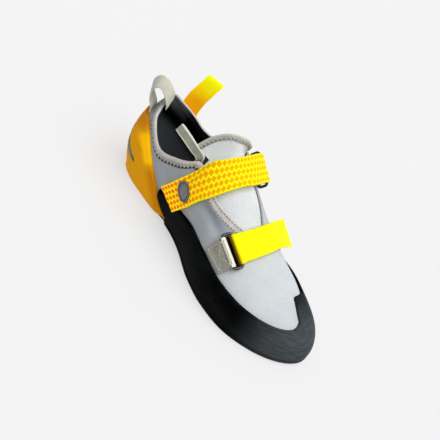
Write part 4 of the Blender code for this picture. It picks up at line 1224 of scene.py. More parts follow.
RAND_THICK = GAP + RAND_WALL - BAND_SEAT
RAND_ROUND = 1.5
RAND_MIN = 1.0
CUP_END = 5.0
CUP_ROUND = 1.3
BEAD_PLACE = 1.7
BEAD_WIDTH = 0.8
BEAD_RISE = 0.55
GOLD_START = 6.0
GOLD_RAMP = 18.0
# painted highlight beside the lateral border, which also glows: x less z where it starts and ends, and its
# reach down
HIGHLIGHT_START = -44.0
HIGHLIGHT_END = 24.0
HIGHLIGHT_RAMP = 22.0
HIGHLIGHT_REACH = 25.0
HIGHLIGHT_FADE = 15.0


def make_rand():
    t = fine_rows(RAND_START, LOOP - RAND_START)
    low = np.where(section(t) <= CUP_END, cup_rise(t) + GAP, GAP)
    low = np.minimum(low, rand_rise(t) - RAND_MIN)
    outer, inner, faces, run, rise = band(t, low, rand_rise(t), RAND_THICK, RAND_ROUND)
    points = skins(outer, inner)
    flat = np.stack([run.ravel(), rise.ravel()], 1)
    cloth = np.concatenate([np.tile(flat, (2, 1)), toe_scuff_and_sheen(points)[:, None]], 1)
    add_piece("rand_rubber", points, faces, [BLACK], ["rand"], cloth)


# slot in the heel cup: middle line in loop parameter and rise, half width and depth
SLOT_LINE = ((0.84, 40.0), (0.82, 35.0), (0.92, 28.5), (1.15, 23.0), (1.5, 19.5), (1.95, 17.0))
SLOT_HALF = 2.8
SLOT_DEPTH = 0.9
SLOT_SAMPLES = 40
SLOT_EDGE = 0.5
SLOT_RAMP = 0.7
INLAY_COLUMNS = 5
INLAY_SHADE_START = 0.8
INLAY_THICK = 0.25
INLAY_PROUD = 0.05


def slot_path(lift):
    line = open_spline(SLOT_LINE, np.linspace(0, len(SLOT_LINE) - 1, SLOT_SAMPLES))
    share = (line[:, 1] / last_length(line[:, 0]))[:, None]
    points, normals = last_grid(line[:, 0], share)
    return points[:, 0] + normals[:, 0] * lift, normals[:, 0]


def slot_half():
    """Half width of the slot along its line, pointed at both ends."""
    return SLOT_HALF * np.sqrt(np.sin(np.pi * np.linspace(0, 1, SLOT_SAMPLES)))


def cup_extra(t, rise, down):
    """Bead along the cup's front border, less the slot's recess."""
    bead = BEAD_RISE * np.exp(-((down - BEAD_PLACE) / BEAD_WIDTH) ** 2)
    points = last_points(t, rise / last_length(t)[:, None])
    path, _ = slot_path(0.0)
    inside = np.zeros(rise.shape)
    for p, half in zip(path, slot_half()):
        distance = np.linalg.norm(points - p, axis=-1)
        inside = np.maximum(inside, smooth_step((half + SLOT_EDGE - distance) / SLOT_RAMP))
    return bead * smooth_step(down / BEAD_PLACE) - SLOT_DEPTH * inside


def make_heel_cup():
    t = fine_rows(LOOP - CUP_END, LOOP + CUP_END)
    low = np.full(len(t), GAP)
    fade = smooth_step((section(t) - CUP_WRAP_START) / (CUP_WRAP_END - CUP_WRAP_START))
    wrap = CUP_WRAP * (1 - fade)
    outer, inner, faces, run, rise = band(t, low, cup_rise(t), RAND_THICK, CUP_ROUND, cup_extra, wrap)
    down = cup_rise(t)[:, None] - rise
    gold = smooth_step((down - GOLD_START) / GOLD_RAMP)
    place = outer[..., 0] - outer[..., 2]
    # painted highlight band on the lateral side
    highlight = smooth_step((HIGHLIGHT_REACH - down) / HIGHLIGHT_FADE) * ~is_medial(t)[:, None]
    highlight = highlight * smooth_step((place - HIGHLIGHT_START) / HIGHLIGHT_RAMP)
    highlight = highlight * smooth_step((HIGHLIGHT_END - place) / HIGHLIGHT_RAMP)
    flat = np.stack([run, rise, gold * (1 - highlight) + 2 * highlight], -1)
    add_piece("heel_cup_rubber", skins(outer, inner), faces, [AMBER], ["heel_cup"],
              skins(flat, flat))


def make_slot_inlay():
    """Grey strip lying in the heel cup's slot, with painted shade towards its lower end."""
    path, normals = slot_path(BAND_SEAT + RAND_THICK - INLAY_THICK + INLAY_PROUD)
    side = unit(np.cross(np.gradient(path, axis=0), normals))
    half = slot_half()[:, None, None] * np.linspace(-1, 1, INLAY_COLUMNS)[None, :, None]
    middle = path[:, None] + side[:, None] * half
    front = middle + normals[:, None] * INLAY_THICK
    index = number(middle)
    faces = grid_faces(index) + grid_faces(index + index.size, flip=True)
    rim = np.concatenate([index[:, 0], index[-1, 1:], index[-2::-1, -1], index[0, -2:0:-1]])
    faces += grid_faces(np.stack([rim, rim + index.size], 1), closed=True, flip=True)
    points = skins(front, middle)
    along = np.linspace(0, 1, SLOT_SAMPLES)
    # painted shade towards the slot's lower end
    dark = smooth_step((along - INLAY_SHADE_START) / (1 - INLAY_SHADE_START))
    dark = np.tile(np.repeat(dark, INLAY_COLUMNS), 2)
    cloth = np.concatenate([points[:, :2], dark[:, None]], 1)
    add_piece("heel_cup_inlay", points, faces, [INLAY], (), cloth)


# bindings

ARC_STEPS = 9
BINDING_STEPS = 7
ZIGZAG_STEPS = 4
ZIGZAG_LIFT = 0.12
ZIGZAG_SHORTEST = 3
ZIGZAG_THREAD = 0.24
DASH = 2.0
DASH_SPACE = 1.1
DASH_POINTS = 5
DASH_THREAD = 0.28
DASH_DIP = 0.4
DASH_PLACES = (2.3, 6.6)
ZIGZAG_END = LOOP + 5.4
HEEL_PAD_END = 1.9
HEEL_PAD_RAMP = 0.8
HEEL_DASHES = (LOOP - 2.2, LOOP + 0.2)
HEEL_DASH_PLACES = (3.0, 5.4)


def fold_over(base, normals, wall):
    """Tape folded over an edge; each row of base runs down from the edge on its outside."""
    radius = wall / 2 + BINDING_PROUD
    turn = np.linspace(0, np.pi, ARC_STEPS)[None, :, None]
    paths = []
    for shrink in (0.0, BINDING_SHELL):
        proud = BINDING_PROUD - shrink
        front = base[:, ::-1] + normals[:, ::-1] * proud
        back = base - normals * (wall + proud)
        centre = base[:, :1] - normals[:, :1] * wall / 2
        up = unit(base[:, :1] - base[:, 1:2])
        arc = centre + (radius - shrink) * (np.cos(turn) * normals[:, :1] + np.sin(turn) * up)
        paths.append(np.concatenate([front[:, :-1], arc, back[:, 1:]], 1))
    loop = np.concatenate([paths[0], paths[1][:, ::-1]], 1)
    v = running(paths[0].transpose(1, 0, 2))
    return loop, tube_faces(loop), np.concatenate([v, v[::-1]])


def binding_body(base, normals, wall, seam, pad):
    """Folded tape with its cloth values; the third is the seam outside and the heel pad inside."""
    loop, faces, v = fold_over(base, normals, wall)
    u = running(base[:, 0])
    u_grid = np.broadcast_to(u[:, None], loop.shape[:2])
    v_grid = np.broadcast_to(v[None, :], loop.shape[:2])
    seam_grid = np.where(v_grid > BACK_LOW, pad[:, None], seam[:, None])
    cloth = np.stack([u_grid, v_grid, seam_grid], -1).reshape(-1, 3)
    return loop, faces, cloth, u


def zigzag(base, normals, down, u, width, keep):
    """Zigzag thread on the lower half of a binding's front, in runs where keep is true."""
    count = int(u[-1] / ZIGZAG_PITCH * 2)
    corner_u = np.arange(count + 1) * ZIGZAG_PITCH / 2
    corner_v = ZIGZAG_LOW + ZIGZAG_HIGH * (np.arange(count + 1) % 2)
    fine_u = np.linspace(0, corner_u[-1], count * ZIGZAG_STEPS + 1)
    fine_v = np.interp(fine_u, corner_u, corner_v)
    row = np.interp(fine_u, u, np.arange(len(u)))
    column = np.interp(width - fine_v, down, np.arange(len(down)))
    out = unit(read_grid(normals, row, column))
    points = read_grid(base, row, column) + out * (BINDING_PROUD + ZIGZAG_LIFT)
    kept = np.interp(fine_u, u, keep.astype(float)) > 0.5
    cuts = np.flatnonzero(np.diff(kept.astype(int))) + 1
    runs = zip(np.split(points, cuts), np.split(kept, cuts))
    return [run for run, use in runs if use[0] and len(run) > ZIGZAG_SHORTEST]


def dashes(base, normals, down, u, first, last, place):
    """Row of straight stitches along a binding, at a distance down from its edge."""
    paths = []
    for start in np.arange(first, last - DASH, DASH + DASH_SPACE):
        share = np.linspace(0, 1, DASH_POINTS)
        row = np.interp(start + DASH * share, u, np.arange(len(u)))
        column = np.full(DASH_POINTS, np.interp(place, down, np.arange(len(down))))
        lift = BINDING_PROUD + DASH_THREAD * (np.sin(np.pi * share) - DASH_DIP)
        paths.append(read_grid(base, row, column) + unit(read_grid(normals, row, column)) * lift[:, None])
    return paths


def make_collar_binding():
    t = fine_rows(LOOP - BINDING_MEDIAL_END, LOOP + THROAT_CLOSE)
    length = last_length(t)
    radius = UPPER_WALL / 2 + BINDING_PROUD
    down = np.linspace(radius, BINDING_WIDTH, BINDING_STEPS)
    rise = (length - edge_drop(t))[:, None] - down[None, :]
    base, normals = last_grid(t, rise / length[:, None])
    seam = (t < ZIGZAG_END).astype(float)
    pad = smooth_step((HEEL_PAD_END - section(t)) / HEEL_PAD_RAMP)
    loop, faces, cloth, u = binding_body(base, normals, UPPER_WALL, seam, pad)
    points = loop.reshape(-1, 3)
    add_piece("collar_binding_tape", points, faces, [BINDING], ["collar_binding"], cloth)
    paths = zigzag(base, normals, down, u, BINDING_WIDTH, seam > 0.5)
    add_stitches("collar_stitches", paths, ZIGZAG_THREAD, PALE_THREAD)
    paths = []
    for place in DASH_PLACES:
        paths += dashes(base, normals, down, u, u[seam < 0.5][0], u[-1], place)
    first, last = np.interp(HEEL_DASHES, t, u)
    for place in HEEL_DASH_PLACES:
        paths += dashes(base - normals * UPPER_WALL, -normals, down, u, first, last, place)
    add_stitches("throat_stitches", paths, DASH_THREAD, DARK_THREAD)


# tongue

# the tongue's top edge, lateral to medial: x, y, z
TONGUE_TOP = (
    (67.0, -14.0, 76.0),
    (70.0, -4.0, 87.0),
    (76.0, 3.0, 95.0),
    (82.0, 10.0, 98.8),
    (88.0, 18.0, 98.3),
    (91.0, 22.8, 95.3),
    (92.0, 27.3, 90.7),
)
TONGUE_FIRST_LATERAL = 5.25
TONGUE_FIRST_MEDIAL = 5.0
TONGUE_LAST = 9.25
TONGUE_COLUMNS = 22
TONGUE_FLAP_ROWS = 14
TONGUE_RELAX = 30
RELAX_SHARE = 0.5
TONGUE_RAMP = 0.5
TONGUE_STRETCH = 1.1
TONGUE_UNDER_BINDING = 2.0
TONGUE_SEAM_LATERAL = 0.65
TONGUE_SEAM_MEDIAL = 0.1


def face_normals(points, faces):
    """Vertex normals from the faces round each vertex."""
    normal = np.zeros_like(points)
    for face in faces:
        p = points[face]
        across = np.cross(p[2] - p[0], p[-1] - p[1] if len(face) > 3 else p[1] - p[2])
        normal[face] += across
    return unit(normal)


def relax(points, faces, fixed, passes):
    """Moves free points towards the mean of their neighbours."""
    pairs = np.array([(face[n - 1], v) for face in faces for n, v in enumerate(face)])
    pairs = np.concatenate([pairs, pairs[:, ::-1]])
    count = np.bincount(pairs[:, 0], minlength=len(points))[:, None]
    for _ in range(passes):
        total = np.zeros_like(points)
        np.add.at(total, pairs[:, 0], points[pairs[:, 1]])
        mean = total / np.maximum(count, 1)
        points = np.where(fixed[:, None], points, points + RELAX_SHARE * (mean - points))
    return points


def border_pairs(faces):
    """Directed edges that only one face has."""
    used = set()
    for face in faces:
        for n, v in enumerate(face):
            used.add((face[n - 1], v))
    return [(a, b) for a, b in sorted(used) if (b, a) not in used]


def tongue_sides():
    """Points of the tongue's lateral and medial sides, and how many rows of each lie behind the ridge."""
    sheets = []
    lat_t = fine_rows(TONGUE_FIRST_LATERAL, TONGUE_LAST)
    med_t = LOOP - fine_rows(TONGUE_FIRST_MEDIAL, TONGUE_LAST)
    for t in (lat_t, med_t):
        length = last_length(t)
        low = 1 - (edge_drop(t) + BINDING_WIDTH + GAP + TONGUE_OVERLAP) / length
        share = low[:, None] + (1 - low)[:, None] * np.linspace(0, 1, TONGUE_COLUMNS)[None, :]
        sheets.append(last_grid(t, share))
    (lat, lat_normal), (med, med_normal) = sheets
    lat_lips = int(round((FIRST_RIDGE - TONGUE_FIRST_LATERAL) * FINE))
    med_lips = int(round((FIRST_RIDGE - TONGUE_FIRST_MEDIAL) * FINE))
    mean = unit(lat_normal[lat_lips:, -1] + med_normal[med_lips:, -1])
    lat_normal[lat_lips:, -1] = med_normal[med_lips:, -1] = mean
    lat = lat - lat_normal * TONGUE_DEPTH
    near = smooth_step((section(med_t) - FIRST_RIDGE) / TONGUE_RAMP)[:, None, None]
    near = near * np.sqrt(np.linspace(1, 0, TONGUE_COLUMNS))[None, :, None]
    med = med - med_normal * (TONGUE_DEPTH - (TONGUE_DEPTH - TONGUE_DEPTH_MEDIAL) * near)
    return lat, med, lat_lips, med_lips


def make_tongue():
    lat, med, lat_lips, med_lips = tongue_sides()
    lat_index = number(lat)
    med_index = number(med, lat_index.size)
    med_index[med_lips:, -1] = lat_index[lat_lips:, -1]
    lip_index = np.concatenate([lat_index[:lat_lips + 1, -1], med_index[:med_lips, -1][::-1]])
    points = skins(lat, med)
    lip = points[lip_index]
    rim = open_spline(TONGUE_TOP, np.linspace(0, len(TONGUE_TOP) - 1, len(lip_index)))
    reach = np.linalg.norm(rim - lip, axis=1)[:, None]
    cut = 1 - TONGUE_UNDER_BINDING / reach
    flap = np.stack([lip + (rim - lip) * cut * k / TONGUE_FLAP_ROWS for k in range(1, TONGUE_FLAP_ROWS + 1)])
    flap_index = number(flap, len(points))
    points = np.concatenate([points, flap.reshape(-1, 3)])
    faces = grid_faces(lat_index) + grid_faces(med_index, flip=True)
    faces += grid_faces(np.concatenate([lip_index[None], flap_index]), flip=True)
    border = border_pairs(faces)
    fixed = np.zeros(len(points), bool)
    fixed[[a for a, _ in border]] = True
    used = np.unique(np.concatenate([lat_index.ravel(), med_index.ravel(), flap_index.ravel()]))
    loose = np.ones(len(points), bool)
    loose[used] = False
    points = relax(points, faces, fixed | loose, TONGUE_RELAX)
    normal = face_normals(points, faces)
    count = len(points)
    solid = faces + [[v + count for v in face[::-1]] for face in faces]
    solid += [[b, a, a + count, b + count] for a, b in border]
    inner = points - normal * TONGUE_WALL
    cloth = np.stack([points[:, 1] * TONGUE_STRETCH, points[:, 0] + points[:, 2], np.zeros(count)], 1)
    tongue = add_piece("tongue_pad", skins(points, inner), solid, [TONGUE_KNIT], ["tongue"],
                       skins(cloth, cloth))
    make_tongue_binding(lip, rim)


def make_tongue_binding(lip, rim):
    way = unit(lip - rim)
    tangent = unit(np.gradient(rim, axis=0))
    normal = unit(np.cross(way, tangent))
    radius = TONGUE_WALL / 2 + BINDING_PROUD
    down = np.linspace(radius, TONGUE_BINDING_WIDTH, BINDING_STEPS)
    base = rim[:, None] + way[:, None] * down[None, :, None]
    normals = np.broadcast_to(normal[:, None], base.shape)
    seam = np.linspace(TONGUE_SEAM_LATERAL, TONGUE_SEAM_MEDIAL, len(rim))
    pad = np.zeros(len(rim))
    loop, faces, cloth, u = binding_body(base, normals, TONGUE_WALL, seam, pad)
    points = loop.reshape(-1, 3)
    add_piece("tongue_binding_tape", points, faces, [BINDING], ["tongue_binding"], cloth)
    paths = zigzag(base, normals, down, u, TONGUE_BINDING_WIDTH, np.ones(len(rim), bool))
    add_stitches("tongue_stitches", paths, ZIGZAG_THREAD, PALE_THREAD)


# straps, webbing and rings

DENSE_SUBROWS = 24
DENSE_LOW = 0.05
DENSE_COLUMNS = 90
DENSE_T = np.arange(0, LOOP * DENSE_SUBROWS) / DENSE_SUBROWS
DENSE_SHARE = np.tile(np.linspace(DENSE_LOW, 1, DENSE_COLUMNS), (len(DENSE_T), 1))
DENSE_POINTS, DENSE_NORMALS = (v.reshape(-1, 3) for v in last_grid(DENSE_T, DENSE_SHARE))
DRAPE_PASSES = 3
DRAPE_NEAR = 6
DRAPE_SOFT = 0.5


def dense_tree():
    tree = kdtree.KDTree(len(DENSE_POINTS))
    for k, p in enumerate(DENSE_POINTS):
        tree.insert(p, k)
    tree.balance()
    return tree


DENSE_TREE = dense_tree()


def drape(grid, offset):
    """Moves points along the last's normals to a given height above it."""
    out = grid.reshape(-1, 3).copy()
    for _ in range(DRAPE_PASSES):
        for n, p in enumerate(out):
            found = DENSE_TREE.find_n(p, DRAPE_NEAR)
            near = np.array([k for _, k, _ in found])
            weight = 1 / (np.array([d for _, _, d in found]) + DRAPE_SOFT)
            weight /= weight.sum()
            normal = unit(weight @ DENSE_NORMALS[near])
            height = weight @ np.einsum("ij,ij->i", p - DENSE_POINTS[near], DENSE_NORMALS[near])
            out[n] = p + normal * (offset - height)
    return out.reshape(grid.shape)


def ruled(stations, rows):
    """Grid of points across a tape, from stations of its two edges."""
    edges = np.array(stations, float)
    at = np.linspace(0, len(edges) - 1, rows)
    first = open_spline(edges[:, :3], at)
    second = open_spline(edges[:, 3:], at)
    share = np.linspace(0, 1, STRAP_COLUMNS)[None, :, None]
    return first[:, None, :] * (1 - share) + second[:, None, :] * share


def bridge(start, end, start_way, end_way, rows):
    """Rows of a smooth curve between two lines of points, ends left out."""
    first, leave, last, arrive = hermite(np.linspace(0, 1, rows + 2)[1:-1, None, None])
    size = np.linalg.norm(end - start, axis=-1, keepdims=True)[None]
    return first * start + leave * size * start_way + last * end + arrive * size * end_way


def folded(inner, outer, bar, way, lift, radius):
    """Tape that runs up its inner rows, round a bar, and back down its outer rows."""
    angle = np.linspace(np.pi, 0, FOLD_ROWS)[:, None, None]
    turn = bar[None] + radius * (np.cos(angle) * lift + np.sin(angle) * way)
    first = bridge(inner[-1], turn[0], unit(inner[-1] - inner[-2]), way, BLEND_ROWS)
    second = bridge(turn[-1], outer[0], -way, unit(outer[1] - outer[0]), BLEND_ROWS)
    return np.concatenate([inner, first, turn, second, outer])


def fold_run(inner, grid):
    """Distance along a folded tape to the top of its fold."""
    return running(grid)[len(inner) + BLEND_ROWS + FOLD_ROWS // 2]


def bar_line(middle, across):
    half = STRAP_WIDTH / 2
    return middle + across * np.linspace(-half, half, STRAP_COLUMNS)[:, None]


def add_ring(name, bar_a, bar_b, across, node):
    """Rounded rectangle of wire round two parallel bars, given their middles."""
    reach = np.linalg.norm(bar_b - bar_a)
    along = (bar_b - bar_a) / reach
    flat = np.cross(across, along)
    centre = (bar_a + bar_b) / 2
    half_across = STRAP_WIDTH / 2 + RING_SIDE
    path = []
    for sx, sy, start in ((1, 1, 0), (-1, 1, 1), (-1, -1, 2), (1, -1, 3)):
        for k in range(CORNER_POINTS):
            angle = (start + k / (CORNER_POINTS - 1)) * np.pi / 2
            u = sx * (half_across - RING_CORNER) + RING_CORNER * np.cos(angle)
            v = sy * (reach / 2 - RING_CORNER) + RING_CORNER * np.sin(angle)
            path.append(centre + across * u + along * v)
    path = np.array(path)
    tangent = unit(np.roll(path, -1, axis=0) - np.roll(path, 1, axis=0))
    side = np.cross(tangent, flat)
    angle = np.linspace(0, 2 * np.pi, WIRE_SIDES, endpoint=False)[None, :, None]
    grid = path[:, None] + WIRE * (np.cos(angle) * side[:, None] + np.sin(angle) * flat)
    points = grid.reshape(-1, 3)
    faces = grid_faces(wrapped(number(grid)), closed=True)
    add_piece(name, points, faces, [METAL], [node], points)


def add_tape(name, tape, look, node):
    points, faces, cloth = tape.body()
    return add_piece(name, points, faces, [look], [node], cloth)


# strap and webbing stations: x, y, z of the heel-side edge, then of the toe-side edge
UPPER_STRAP_UNDER = (
    (77.5, -30.0, 46.0, 104.0, -34.0, 42.0),
    (88.0, -24.0, 67.0, 110.5, -31.0, 55.5),
    (92.0, -17.0, 78.0, 115.0, -27.0, 63.0),
    (98.0, -8.0, 88.0, 119.5, -17.0, 72.0),
    (101.0, 5.0, 91.0, 122.5, -1.0, 78.5),
    (101.0, 11.0, 91.0, 123.5, 9.0, 79.0),
)
UPPER_STRAP_OVER = UPPER_STRAP_UNDER[::-1] + (
    (69.0, -30.0, 32.0, 94.0, -33.0, 26.0),
)
UPPER_RING_HEEL = np.array([97.2, 34.0, 86.0])
UPPER_RING_TOE = np.array([119.2, 33.0, 73.0])
UPPER_RING_WAY = np.array([-0.12, 0.94, -0.33])
UPPER_RING_DOWN = np.array([-0.15, -0.12, -0.98])
UPPER_RING_EXTRA = 1.0
UPPER_WEB_UNDER = (
    (96.0, 28.0, 40.0, 120.0, 30.0, 33.0),
    (96.0, 30.0, 50.0, 120.0, 31.0, 43.0),
    (96.0, 31.0, 62.0, 119.5, 31.0, 52.0),
)
LOWER_STRAP_UNDER = (
    (141.5, 33.5, 44.0, 164.5, 36.0, 35.5),
    (147.5, 28.0, 54.0, 169.5, 28.0, 45.5),
    (153.0, 13.0, 62.0, 174.0, 12.0, 52.0),
    (154.0, -8.0, 61.0, 175.5, -11.0, 50.0),
    (152.0, -19.0, 57.5, 174.5, -20.5, 47.5),
)
LOWER_STRAP_OVER = LOWER_STRAP_UNDER[:2:-1] + (
    (154.5, 5.0, 62.5, 175.5, 2.0, 52.0),
    (153.0, 15.0, 62.0, 174.0, 14.0, 52.0),
)
LOWER_STRAP_TIP = np.array([146.0, 44.0, 52.0, 167.0, 46.0, 38.0])
LOWER_TIP_ROWS = 16
LOWER_RING_SPOT = np.array([162.6, -24.0, 50.0])
LOWER_RING_ACROSS = np.array([23.0, -1.0, -9.0])
LOWER_RING_LIFT = 3.6
LOWER_WEB_UNDER = (
    (144.5, -38.5, 36.5, 169.5, -41.0, 32.5),
    (146.5, -36.0, 41.0, 171.0, -38.0, 36.0),
)
WEB_ROWS = 24

FOLD_RADIUS = WIRE + GAP + STRAP_THICK / 2
UNDER_OFFSET = STRAP_LOW + STRAP_THICK / 2
OVER_OFFSET = UNDER_OFFSET + STRAP_THICK + GAP
WEB_RADIUS = WIRE + GAP + TAPE_THICK / 2
WEB_LOW = GAP + TAPE_THICK / 2
WEB_HIGH = WEB_LOW + TAPE_THICK + GAP


def make_upper_closure():
    across = unit(UPPER_RING_TOE - UPPER_RING_HEEL)
    way = unit(UPPER_RING_WAY - across * (UPPER_RING_WAY @ across))
    bar = (UPPER_RING_HEEL + UPPER_RING_TOE) / 2
    under = drape(ruled(UPPER_STRAP_UNDER, STRAP_ROWS), UNDER_OFFSET)
    over = drape(ruled(UPPER_STRAP_OVER, STRAP_ROWS), OVER_OFFSET)
    grid = folded(under, over, bar_line(bar, across), way, np.cross(across, way), FOLD_RADIUS)
    strap = Tape(grid, STRAP_THICK)
    look = lozenge_strap_look(strap.length, fold_run(under, grid))
    add_tape("upper_strap_tape", strap, look, "upper_strap")
    down = unit(UPPER_RING_DOWN - across * (UPPER_RING_DOWN @ across))
    low_bar = bar + down * (RING_REACH + UPPER_RING_EXTRA)
    add_ring("upper_ring_wire", bar, low_bar, across, "upper_ring")
    inner = drape(ruled(UPPER_WEB_UNDER, WEB_ROWS), WEB_LOW)
    outer = drape(ruled(UPPER_WEB_UNDER[:0:-1], WEB_ROWS), WEB_HIGH)
    grid = folded(inner, outer, bar_line(low_bar, across), -down, np.cross(across, down), WEB_RADIUS)
    webbing = Tape(grid, TAPE_THICK)
    add_tape("upper_webbing_tape", webbing, BEIGE, "upper_webbing")
    add_webbing_stitches("upper_webbing_stitches", webbing, -1)
    return strap


def make_lower_closure():
    _, spot, _ = DENSE_TREE.find(LOWER_RING_SPOT)
    lift = DENSE_NORMALS[spot]
    across = unit(LOWER_RING_ACROSS - lift * (LOWER_RING_ACROSS @ lift))
    way = np.cross(across, lift)
    bar = drape(LOWER_RING_SPOT[None], LOWER_RING_LIFT)[0]
    under = drape(ruled(LOWER_STRAP_UNDER, STRAP_ROWS), UNDER_OFFSET)
    over = drape(ruled(LOWER_STRAP_OVER, STRAP_ROWS // 2), OVER_OFFSET)
    share = np.linspace(0, 1, STRAP_COLUMNS)[:, None]
    tip = LOWER_STRAP_TIP[:3] * (1 - share) + LOWER_STRAP_TIP[3:] * share
    tail = bridge(over[-1], tip, unit(over[-1] - over[-2]), unit(tip - over[-1]), LOWER_TIP_ROWS)
    over = np.concatenate([over, tail, tip[None]])
    grid = folded(under, over, bar_line(bar, across), way, lift, FOLD_RADIUS)
    look = yellow_strap_look(fold_run(under, grid))
    add_tape("lower_strap_tape", Tape(grid, STRAP_THICK), look, "lower_strap")
    low_bar = bar + way * RING_REACH
    add_ring("lower_ring_wire", bar, low_bar, across, "lower_ring")
    inner = drape(ruled(LOWER_WEB_UNDER, WEB_ROWS), WEB_LOW)
    outer = drape(ruled(LOWER_WEB_UNDER[::-1], WEB_ROWS), WEB_HIGH)
    grid = folded(inner, outer, bar_line(low_bar, across), -way, lift, WEB_RADIUS)
    webbing = Tape(grid, TAPE_THICK)
    look = tape_look("rolled_tape", srgb(178, 177, 163), srgb(132, 131, 120), pitch=0.8, contrast=0.5,
                     fold=fold_run(inner, grid))
    add_tape("lower_webbing_tape", webbing, look, "lower_webbing")
    add_webbing_stitches("lower_webbing_stitches", webbing, 1)


STITCH = 2.2
STITCH_SPACE = 0.7
STITCH_THREAD = 0.3
STITCH_POINTS = 5
STITCH_ENDS = (0.12, 0.88)
STITCH_ARCH = 1.4
STITCH_DIP = 0.5
STITCH_LIFT = 0.3
BOX_MARGIN = 2.4
BOX_LENGTH = 13.0
BOX_DOUBLE = 1.5


def stitch_line(tape, start, end, side):
    """Row of stitches on a tape from one place to another, each dipping in at both ends."""
    start = np.array(start, float)
    end = np.array(end, float)
    size = np.linalg.norm(end - start)
    count = max(int(size / (STITCH + STITCH_SPACE)), 1)
    paths = []
    for k in range(count):
        share = (k + np.linspace(*STITCH_ENDS, STITCH_POINTS)) / count
        spot = start + (end - start) * share[:, None]
        arch = np.sin(np.linspace(0, np.pi, STITCH_POINTS)) * STITCH_ARCH - STITCH_DIP
        lifts = side * (STITCH_LIFT + STITCH_THREAD * arch)
        paths.append(np.concatenate([tape.place(p[:1], p[1:], lift) for p, lift in zip(spot, lifts)]))
    return paths


def add_webbing_stitches(name, tape, side):
    """Box and diagonals near the sewn end, with a second row on the side of the fold."""
    half = tape.width / 2 - BOX_MARGIN
    low = tape.length - BOX_MARGIN
    high = low - BOX_LENGTH
    lines = [((u, -half), (u, half)) for u in (low, high, high - BOX_DOUBLE)]
    lines += [((low, a), (high, b)) for a in (-half, half) for b in (-half, half)]
    paths = [path for a, b in lines for path in stitch_line(tape, a, b, side)]
    add_stitches(name, paths, STITCH_THREAD, PALE_THREAD)


# pull loops

LOOP_COLUMNS = 7
LOOP_ROWS = 120
LOOP_STEP = 1.2


def loop_tape(path, ways, width):
    """Tape along a smooth path; its width lies along the ways, evenly spaced from end to end."""
    at = np.linspace(0, 1, LOOP_ROWS)
    line = open_spline(np.array(path, float), at * (len(path) - 1))
    way = unit(open_spline(ways, at * (len(ways) - 1)))
    half = width / 2
    grid = line[:, None, :] + way[:, None, :] * np.linspace(-half, half, LOOP_COLUMNS)[None, :, None]
    return Tape(grid, TAPE_THICK, LOOP_STEP)


def wall_points(t, heights, offset):
    """Points on the last at heights along the section of t, moved out by an offset."""
    share = np.array([heights]) / last_length(t)[0]
    points, normals = last_grid(np.array([t]), share)
    return tuple(points[0] + normals[0] * offset)


HEEL_LOOP_WIDTH = 13.0
HEEL_LOOP_T = 0.7
HEEL_LOOP_FOOT = (59.0, 62.0)
HEEL_LOOP_LIFT = 3 * GAP + TAPE_THICK / 2
HEEL_LOOP_SPOT = np.array([12.0, -8.6])
HEEL_LOOP_OUT = np.array([-0.82, -0.57])
# the loop's middle line: millimetres out from its spot on the collar, and height; then its ways across
HEEL_LOOP = (
    (7.9, 69.0), (12.2, 76.0), (15.2, 83.4), (14.0, 89.4), (10.2, 92.8), (5.2, 91.8), (1.2, 88.4),
    (-2.0, 84.4), (-3.8, 80.8), (-4.6, 78.4), (-4.8, 76.2),
)
HEEL_LOOP_WAYS = (
    (-0.73, 0.68, 0.0), (-0.45, 0.87, 0.05), (-0.72, 0.62, 0.3), (-0.6, 0.62, 0.5), (-0.25, 0.93, 0.2),
    (-0.4, 0.8, 0.45), (-0.42, 0.7, 0.58),
)
SIDE_LOOP_WIDTH = 17.0
SIDE_LOOP_WAYS = ((0.83, 0.56, 0.0), (0.9, 0.43, -0.1), (0.83, 0.56, 0.0))
SIDE_LOOP_T = LOOP - 1.5
SIDE_LOOP_LIFT = BINDING_PROUD + GAP + TAPE_THICK
SIDE_LOOP_DROP = np.array([9.0, 4.5])
SIDE_LOOP_UP = ((16.6, 25.2, 80.0), (18.6, 29.0, 92.0), (20.2, 31.8, 100.8))
SIDE_LOOP_DOWN = ((19.4, 33.8, 100.8), (17.6, 30.9, 92.0), (15.2, 27.0, 80.0))
SIDE_LOOP_TIP = (20.2, 33.3, 103.0)
FRONT_LOOP_WIDTH = 8.0
FRONT_HIGHLIGHT_EDGE = 1.3
FRONT_LOOP_WAYS = ((0.83, 0.37, 0.55), (-0.06, 0.65, 0.75), (0.83, 0.37, 0.55))
FRONT_LOOP_T = 4.95
FRONT_LOOP_LIFT = -UPPER_WALL - BINDING_PROUD - 4 * GAP - TAPE_THICK / 2
LEG_STEP = TAPE_THICK + GAP
FRONT_LOOP_DROP = np.array([8.0, 1.0])
FRONT_LOOP = (
    (79.2, -15.9, 74.4), (71.5, -18.0, 77.1), (61.0, -19.6, 79.7), (52.0, -20.9, 81.6), (49.0, -21.0, 82.2),
    (51.6, -19.5, 81.4), (61.0, -17.8, 78.9), (71.0, -16.2, 75.9), (78.4, -14.2, 73.2),
)


